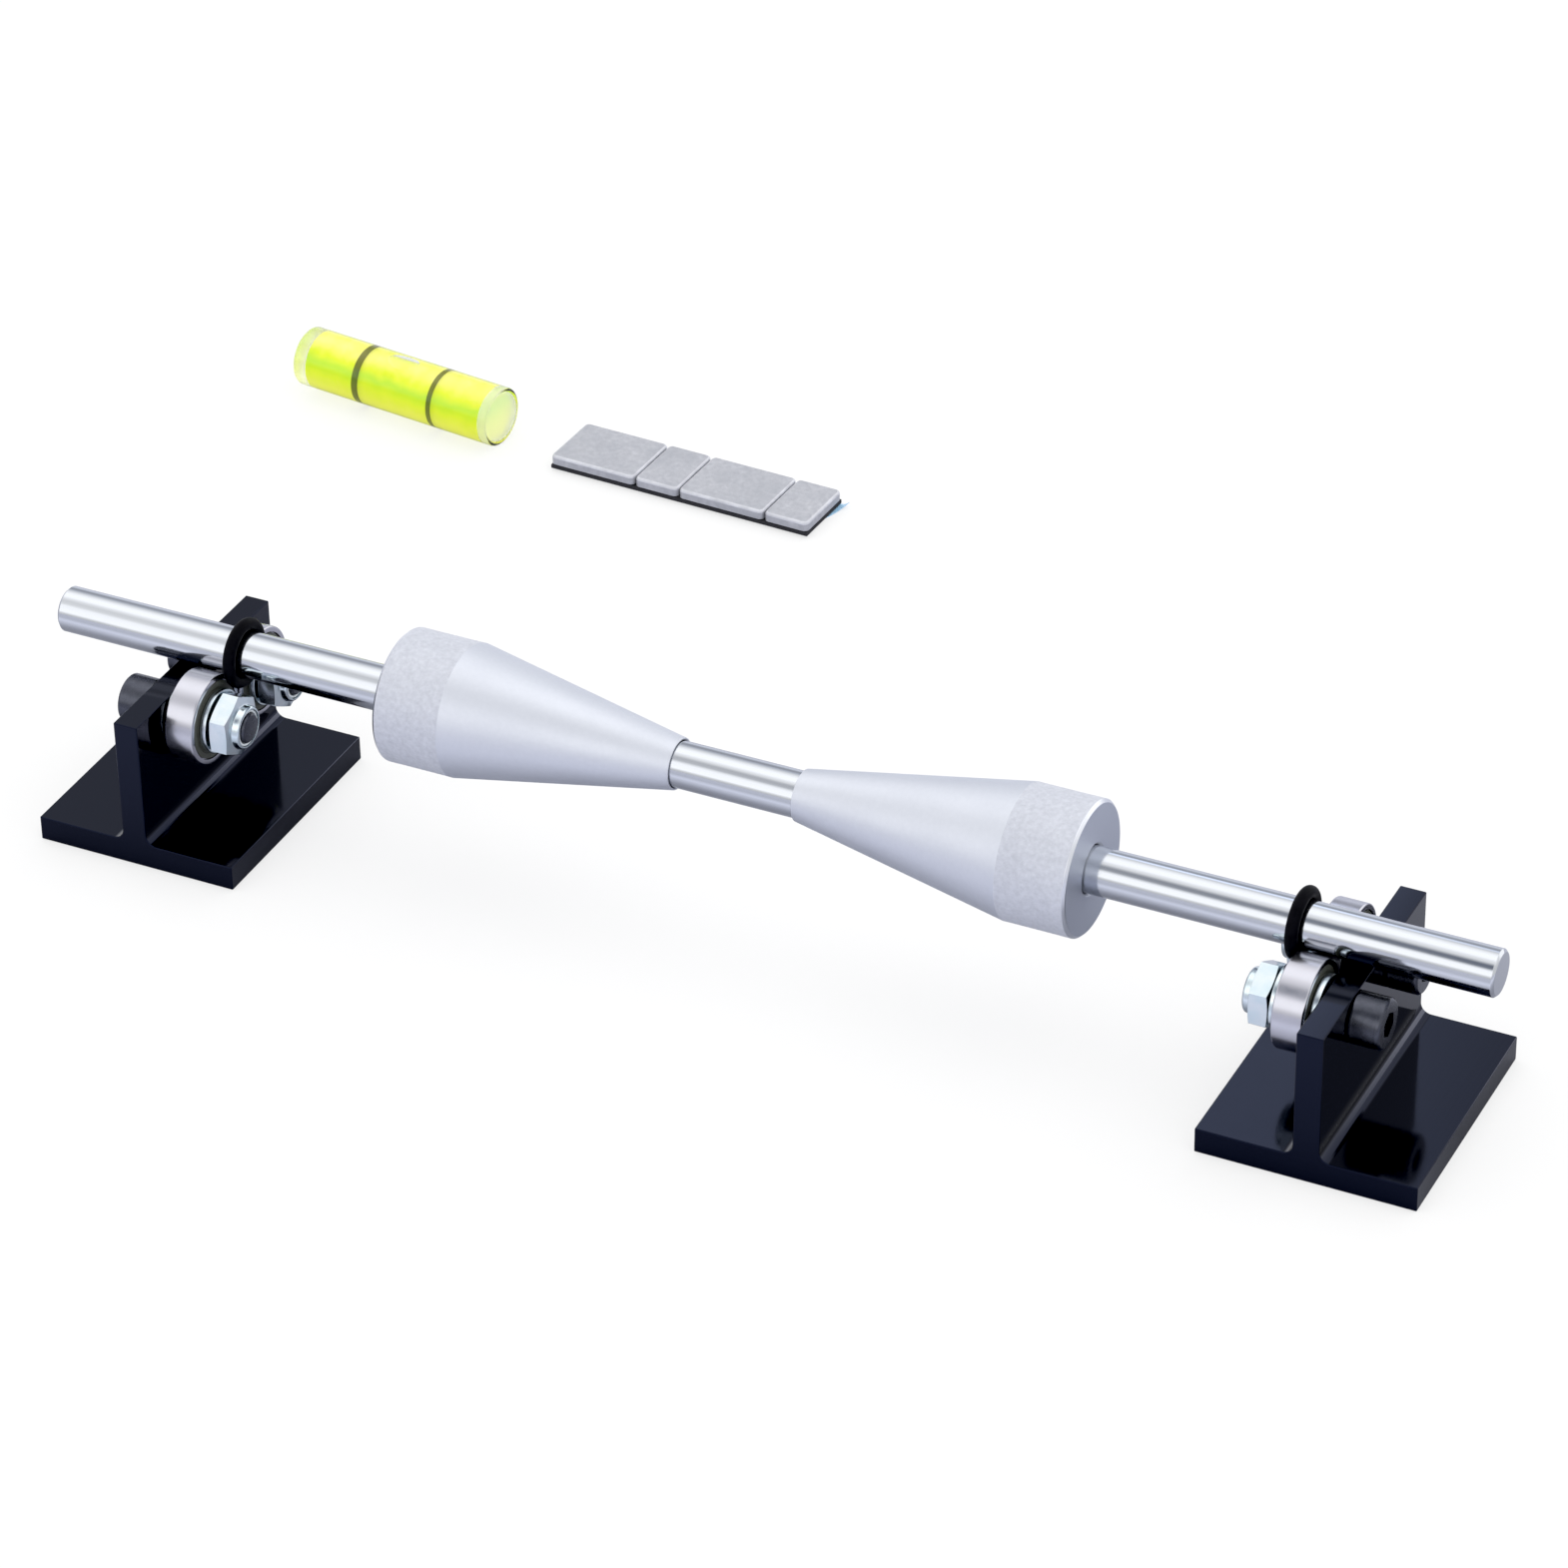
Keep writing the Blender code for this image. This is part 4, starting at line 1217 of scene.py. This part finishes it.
def ball_set_shape(width):
    thickness = race_room * cage_share / 2
    shape = ring(ball_circle - thickness, ball_circle + thickness, width * cage_low_share,
                 width * cage_high_share, steps=84)
    for number in range(balls):
        ball = bmesh.new()
        place = Matrix.Rotation(2 * pi * number / balls, 4, "Z") @ Matrix.Translation(
            (ball_circle, 0, width / 2))
        bmesh.ops.create_uvsphere(ball, u_segments=28, v_segments=18, radius=ball_radius,
                                  matrix=place)
        shape = carve(shape, ball, "UNION")
    return shape


fit_stations("_ball_set", lambda width, radius: ball_set_shape(width), race_steel)

# %% [markdown]
# A seal is a ring of sheet steel in rubber, with a shallow step pressed in. Its raised side looks out
# of the bearing, so the seal on the web's side faces away from the cones.

# %% Seals
seal_play = 0.3 * mm                 # to the inner race
seal_step_top = 0.5 * mm             # from the middle of the step to its upper edges
seal_step_foot = 0.3 * mm            # and to its lower ones
seal_step_height_share = 0.6         # of the seal's thickness
seal_roll = 0.06 * mm

seal_face = Recipe("seal_rubber", (0.050, 0.054, 0.044), 0.0, 0.55, slot="black_rubber")
seal_face.feed("Roughness", seal_face.uneven(0.46, 0.62, size=2 * mm))
seal_face.feed("Base Color", seal_face.drift((0.075, 0.080, 0.066), size=1.5 * mm))


def seal_shape(thickness, radius):
    inner = ball_circle - land_offset + seal_play
    step = (inner + radius) / 2
    floor_height = thickness * seal_step_height_share
    outline = [(inner, 0), (radius, 0), (radius, thickness), (step + seal_step_top, thickness),
               (step + seal_step_foot, floor_height), (step - seal_step_foot, floor_height),
               (step - seal_step_top, thickness), (inner, thickness)]
    return roll_edges(turned(outline, closed=True), seal_roll, 2, sharper_than=60)


fit_stations("_web_side_seal", seal_shape, seal_face, facing=-1)
fit_stations("_nut_side_seal", seal_shape, seal_face)

# %% [markdown]
# ## The level vial
#
# The vial is a moulded acrylic tube, closed by a plug. It is nearly full of a fluorescent
# yellow-green liquid, and the space that is left is the bubble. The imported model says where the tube
# lies, so its two ends are found among the node's vertices, and everything is turned on that axis.

# %% Vial seat
vial_heading = radians(-7.35)
vial_toward = Vector((cos(vial_heading), sin(vial_heading), 0))


def end_of(node, toward, within=0.1 * mm):
    """The middle of the end of a turned node that lies furthest along a direction."""
    places = [vertex.co.copy() for vertex in frame["nodes"][node].data.vertices]
    furthest = max(place.dot(toward) for place in places)
    low, high = span_of([place for place in places if furthest - place.dot(toward) < within])
    return (low + high) / 2


vial_start = end_of("level_vial_tube", -vial_toward)
vial_end = end_of("level_vial_tube", vial_toward)
vial_length = (vial_end - vial_start).length
vial_low, vial_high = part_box("level_vial_tube")
vial_outside = (vial_high.z - vial_low.z) / 2
vial_seat = Matrix.Translation(vial_start) @ (
    (vial_end - vial_start).to_track_quat("Z", "Y").to_matrix().to_4x4())
print("vial:", round(vial_length / mm, 2), "by", round(2 * vial_outside / mm, 2), "mm")

# %% [markdown]
# Light has to pass through the clear wall to the bench, so the wall lets shadow rays by. The two
# printed lines are bands of faces that carry a mark, which stains the clear acrylic there, and
# another mark frosts the closed end, which the mould leaves matt. Where the wall is seen edge-on, light
# travels a long way through the plastic and leaves it greyer. A moulded plug isn't polished, so its
# finish is the same plastic with a frosted face.

# %% Clear acrylic
acrylic_ior = 1.49
edge_on_span = (0.70, 0.95)          # how far the wall is turned away, from clear to grey
matt_roughness = 0.5                 # more than on the polished wall


def let_shadow_rays_by(recipe, color):
    """Mixes the shader with a transparent one for the rays that make shadows."""
    tree = recipe.tree
    ray = add_node(tree, "ShaderNodeLightPath").outputs["Is Shadow Ray"]
    clear = add_node(tree, "ShaderNodeBsdfTransparent", {"Color": (*color, 1)})
    both = add_node(tree, "ShaderNodeMixShader", {
        0: ray, 1: recipe.shader.outputs[0], 2: clear.outputs[0]})
    tree.links.new(both.outputs[0], tree.nodes["Material Output"].inputs["Surface"])


acrylic = Recipe("clear_acrylic", (0.97, 0.985, 0.97), 0.0, 0.03)
acrylic.set("Transmission Weight", 1.0)
acrylic.set("IOR", acrylic_ior)
acrylic.set("Specular IOR Level", 0.06)
edge_on = add_node(acrylic.tree, "ShaderNodeLayerWeight", {"Blend": 0.5}).outputs["Facing"]
wall = acrylic.blend(remap(acrylic.tree, edge_on, *edge_on_span), acrylic.color, (0.42, 0.43, 0.38))
acrylic.feed("Base Color", acrylic.blend(acrylic.marked("line"), wall, (0.050, 0.055, 0.010)))
smooth = acrylic.uneven(0.02, 0.07, size=6 * mm)
acrylic.feed("Roughness", calculate(
    acrylic.tree, "MULTIPLY_ADD", acrylic.marked("matt_end"), matt_roughness, smooth))
let_shadow_rays_by(acrylic, (0.96, 0.97, 0.96))

# %% Frosted acrylic
frosted = Recipe("frosted_acrylic", (0.97, 0.98, 0.90), 0.0, 0.50, slot="clear_acrylic")
frosted.set("Transmission Weight", 0.6)
frosted.set("IOR", acrylic_ior)
frosted.feed("Roughness", frosted.uneven(0.42, 0.60, size=2 * mm))
frosted.bump(frosted.group(blasting, Size=0.3 * mm), depth=0.004 * mm)
let_shadow_rays_by(frosted, (0.93, 0.94, 0.90))

# %% [markdown]
# Fluorescent dye takes in blue light and gives it back as yellow-green, so the liquid gets a faint
# glow of its own besides its colour. The light and shade that the round bore gathers like a lens are
# painted into that colour and glow as long bands: a painted highlight along the top, the deepest
# colour a little below it, and yellow under that. The bands follow the height over the vial's axis.

# %% Level liquid
liquid_swirl = 0.05                  # how far the bands wander, as a share of the height
# Painted light and shade in bands across the liquid.
liquid_light_and_shade_bands = (         # share of the height from the lowest line to the highest, and colour
    (0.00, (0.90, 0.88, 0.10)),
    (0.30, (0.86, 0.88, 0.08)),
    (0.52, (0.74, 0.86, 0.010)),
    (0.70, (0.50, 0.78, 0.001)),
    (0.80, (0.78, 0.86, 0.010)),
    (0.91, (0.94, 0.90, 0.20)),
    (1.00, (0.96, 0.92, 0.34)),
)

liquid = Recipe("level_liquid", (0.84, 0.80, 0.01), 0.0, 0.15,
                centre=(vial_start + vial_end) / 2)
liquid.set("Transmission Weight", 0.20)
liquid.set("IOR", 1.33)
liquid.set("Specular IOR Level", 0.08)
liquid.set("Emission Strength", 0.25)
height = calculate(liquid.tree, "MULTIPLY_ADD", liquid.coordinate("Z"), 0.5 / vial_outside, 0.5)
swirl = liquid.uneven(-liquid_swirl, liquid_swirl, size=7 * mm)
# Painted light and shade: the colour and glow change in bands with the height.
painted_liquid_light = color_ramp(liquid.tree, calculate(liquid.tree, "ADD", height, swirl), liquid_light_and_shade_bands)
liquid.feed("Base Color", painted_liquid_light)
liquid.feed("Emission Color", painted_liquid_light)
let_shadow_rays_by(liquid, (0.94, 0.96, 0.80))

# %% [markdown]
# The tube is turned as one outline: closed end, outside, mouth and bore. The printed lines get edges
# of their own in that outline, so that whole faces can be marked and the print has a clean border.

# %% Vial tube
vial_wall = 1.3 * mm
end_wall = 4.0 * mm
end_roll = 0.6 * mm
line_shares = (0.325, 0.71)          # of the length, from the left end
line_widths = (2.2 * mm, 1.6 * mm)

vial_bore = vial_outside - vial_wall
printed_lines = [(share * vial_length - width / 2, share * vial_length + width / 2)
                 for share, width in zip(line_shares, line_widths)]
line_edges = [edge for line in printed_lines for edge in line]
outer = [(vial_outside, height) for height in [0] + line_edges + [vial_length]]
inner = [(vial_bore, vial_length), (vial_bore, end_wall), (0, end_wall)]
shape = turned([(0, 0)] + outer + inner)
roll_edges(shape, end_roll, 4, sharper_than=60,
           chosen=lambda edge: ends_at(edge, (0, vial_length)))
mark_faces(shape, "line", lambda face: reach_of(face) > vial_bore + tiny
           and any(low < height_of(face) < high for low, high in printed_lines))
mark_faces(shape, "matt_end", lambda face: height_of(face) < end_roll + tiny)
add_piece(shape, acrylic, "level_vial_tube", vial_seat)

# %% [markdown]
# The liquid wets the wall. Even a thin layer of air between them would mirror like silver near the
# edges, and the eye would see a yellow rod in a wide clear tube. So the liquid reaches a hair into the
# wall, and the wall's lens then spreads the yellow over the whole width. The plug is glued in, so it
# reaches into the wall too. The bubble floats under the tube's highest line, as a squashed ball that is
# carved out.

# %% Liquid and plug
wetting = 0.02 * mm
plug_length = 3.0 * mm
plug_sink = 0.05 * mm                # below the tube's mouth
plug_roll = 0.3 * mm
bubble_length = 11.0 * mm
bubble_depth = 1.8 * mm

filling = vial_bore + wetting
plug_start = vial_length - plug_length
shape = rod(filling, end_wall - wetting, plug_start + wetting)
bubble = bmesh.new()
bmesh.ops.create_uvsphere(
    bubble, u_segments=48, v_segments=24, radius=1,
    matrix=Matrix.Translation((vial_bore + overrun, 0, vial_length / 2))
    @ Matrix.Diagonal((bubble_depth + overrun, 2 * bubble_depth, bubble_length / 2, 1)))
up_local = vial_seat.to_3x3().inverted() @ Vector((0, 0, 1))
to_top = Matrix.Rotation(-2 * pi * turn_at(up_local), 4, "Z")
bmesh.ops.transform(bubble, matrix=to_top, verts=bubble.verts)
add_piece(carve(shape, bubble), liquid, "level_vial_liquid", vial_seat)

shape = rod(filling, plug_start, vial_length - plug_sink)
roll_edges(shape, plug_roll, 3, sharper_than=60)
add_piece(shape, frosted, "level_vial_plug", vial_seat)

# %% [markdown]
# ## The stick-on weights
#
# Four zinc weights stand on one strip of black foam tape, with the blue backing film still under it.
# A cast weight has rounded corners and a dull, cloudy coating. Its rounded rim carries a painted
# highlight, broken up in patches. The rim's faces are marked when the shape is made, because a wide
# rounding isn't an edge any more that the edge mask could find.

# %% Coated zinc
coated = Recipe("painted_zinc", (0.39, 0.395, 0.43), 0.35, 0.42)
speck = coated.drift((0.53, 0.535, 0.57), size=1.6 * mm)
cloudy = coated.blend(coated.uneven(0.0, 0.8, size=9 * mm), speck, (0.36, 0.37, 0.405))
# Painted highlight: a paler colour along the rounded rim, broken up in patches.
edge_wear_and_rim_highlight = product(coated.tree, coated.marked("rim_highlight"), coated.uneven(0.35, 1.0, size=4 * mm))
coated.feed("Base Color", coated.blend(edge_wear_and_rim_highlight, cloudy, (0.62, 0.63, 0.68)))
coated.feed("Roughness", coated.uneven(0.36, 0.50, size=6 * mm))
coated.bump(coated.group(blasting, Size=0.6 * mm), depth=0.05 * mm)

# %% Weights
strip_heading = radians(-2.73)
corner_round = 1.5 * mm
top_round = 0.9 * mm
rim_slopes = (0.15, 0.97)            # the rim's faces, by their normal's Z


def turned_box(node):
    """A node's lowest and highest corners in the strip's own axes."""
    turn = Matrix.Rotation(-strip_heading, 4, "Z")
    return span_of([turn @ vertex.co for vertex in frame["nodes"][node].data.vertices])


turn_back = Matrix.Rotation(strip_heading, 4, "Z")
for number in range(1, 5):
    node = f"wheel_weight_{number}"
    shape = block(*turned_box(node))
    roll_edges(shape, corner_round, 5, chosen=lambda edge: not is_level(edge))
    roll_edges(shape, top_round, 4, sharper_than=60, chosen=lambda edge: any(
        face.normal.z > 0.9 for face in edge.link_faces))
    # Marks the rim faces that carry the painted highlight.
    mark_faces(shape, "rim_highlight", lambda face: rim_slopes[0] < face.normal.z < rim_slopes[1])
    add_piece(shape, coated, node, turn_back)

# %% [markdown]
# The tape is a strip of closed-cell foam, cut with scissors, so its edges are only a little soft. Foam
# swallows light, and its cut cells show as a fine, deep grain.

# %% Foam tape
tape_roll = 0.2 * mm

foam = Recipe("black_foam", (0.008, 0.008, 0.011), 0.0, 0.85)
foam.feed("Base Color", foam.drift((0.022, 0.022, 0.028), size=0.5 * mm))
foam.bump(foam.group(blasting, Size=0.3 * mm), depth=0.05 * mm)
add_piece(roll_edges(block(*turned_box("weight_tape")), tape_roll, 3), foam, "weight_tape", turn_back)

# %% [markdown]
# The film was cut by hand. Most of its end lies hidden under the tape, and only one corner is left to
# peel it by, which curls up. Cuts across the slab give the vertices that the cut end and the curl need.

# %% Backing film
film_inset = 1.2 * mm
film_slant = 3.0 * mm                # how far the cut end lies behind the peeling corner
film_curl = 1.2 * mm
corner_reach = 9.0 * mm
film_cuts = 4

film = Recipe("blue_backing", (0.36, 0.62, 0.88), 0.0, 0.35)
film.feed("Base Color", film.drift((0.44, 0.70, 0.92), size=8 * mm))
film.feed("Roughness", film.uneven(0.28, 0.42, size=5 * mm))

film_low, film_high = turned_box("weight_backing")
tape_end = turned_box("weight_tape")[1].x
tab = film_high.x - tape_end
shape = block(film_low, film_high)
for cut in range(film_cuts):
    slice_at(shape, (tape_end + tab * cut / film_cuts, 0, 0), (1, 0, 0))
for cut in range(1, film_cuts + 1):
    slice_at(shape, (0, film_high.y - corner_reach * cut / film_cuts, 0), (0, 1, 0))
for vertex in shape.verts:
    to_corner = max(0, 1 - (film_high.y - vertex.co.y) / corner_reach)
    vertex.co.x = min(vertex.co.x, film_high.x - film_slant * (1 - to_corner))
    past_tape = max(0, (vertex.co.x - tape_end) / tab)
    vertex.co.z += film_curl * past_tape ** 2
    if vertex.co.y < film_low.y + tiny:
        vertex.co.y += film_inset
bmesh.ops.remove_doubles(shape, verts=shape.verts, dist=tiny)
print("film past the tape in mm:", round(tab / mm, 2))
add_piece(shape, film, "weight_backing", turn_back)
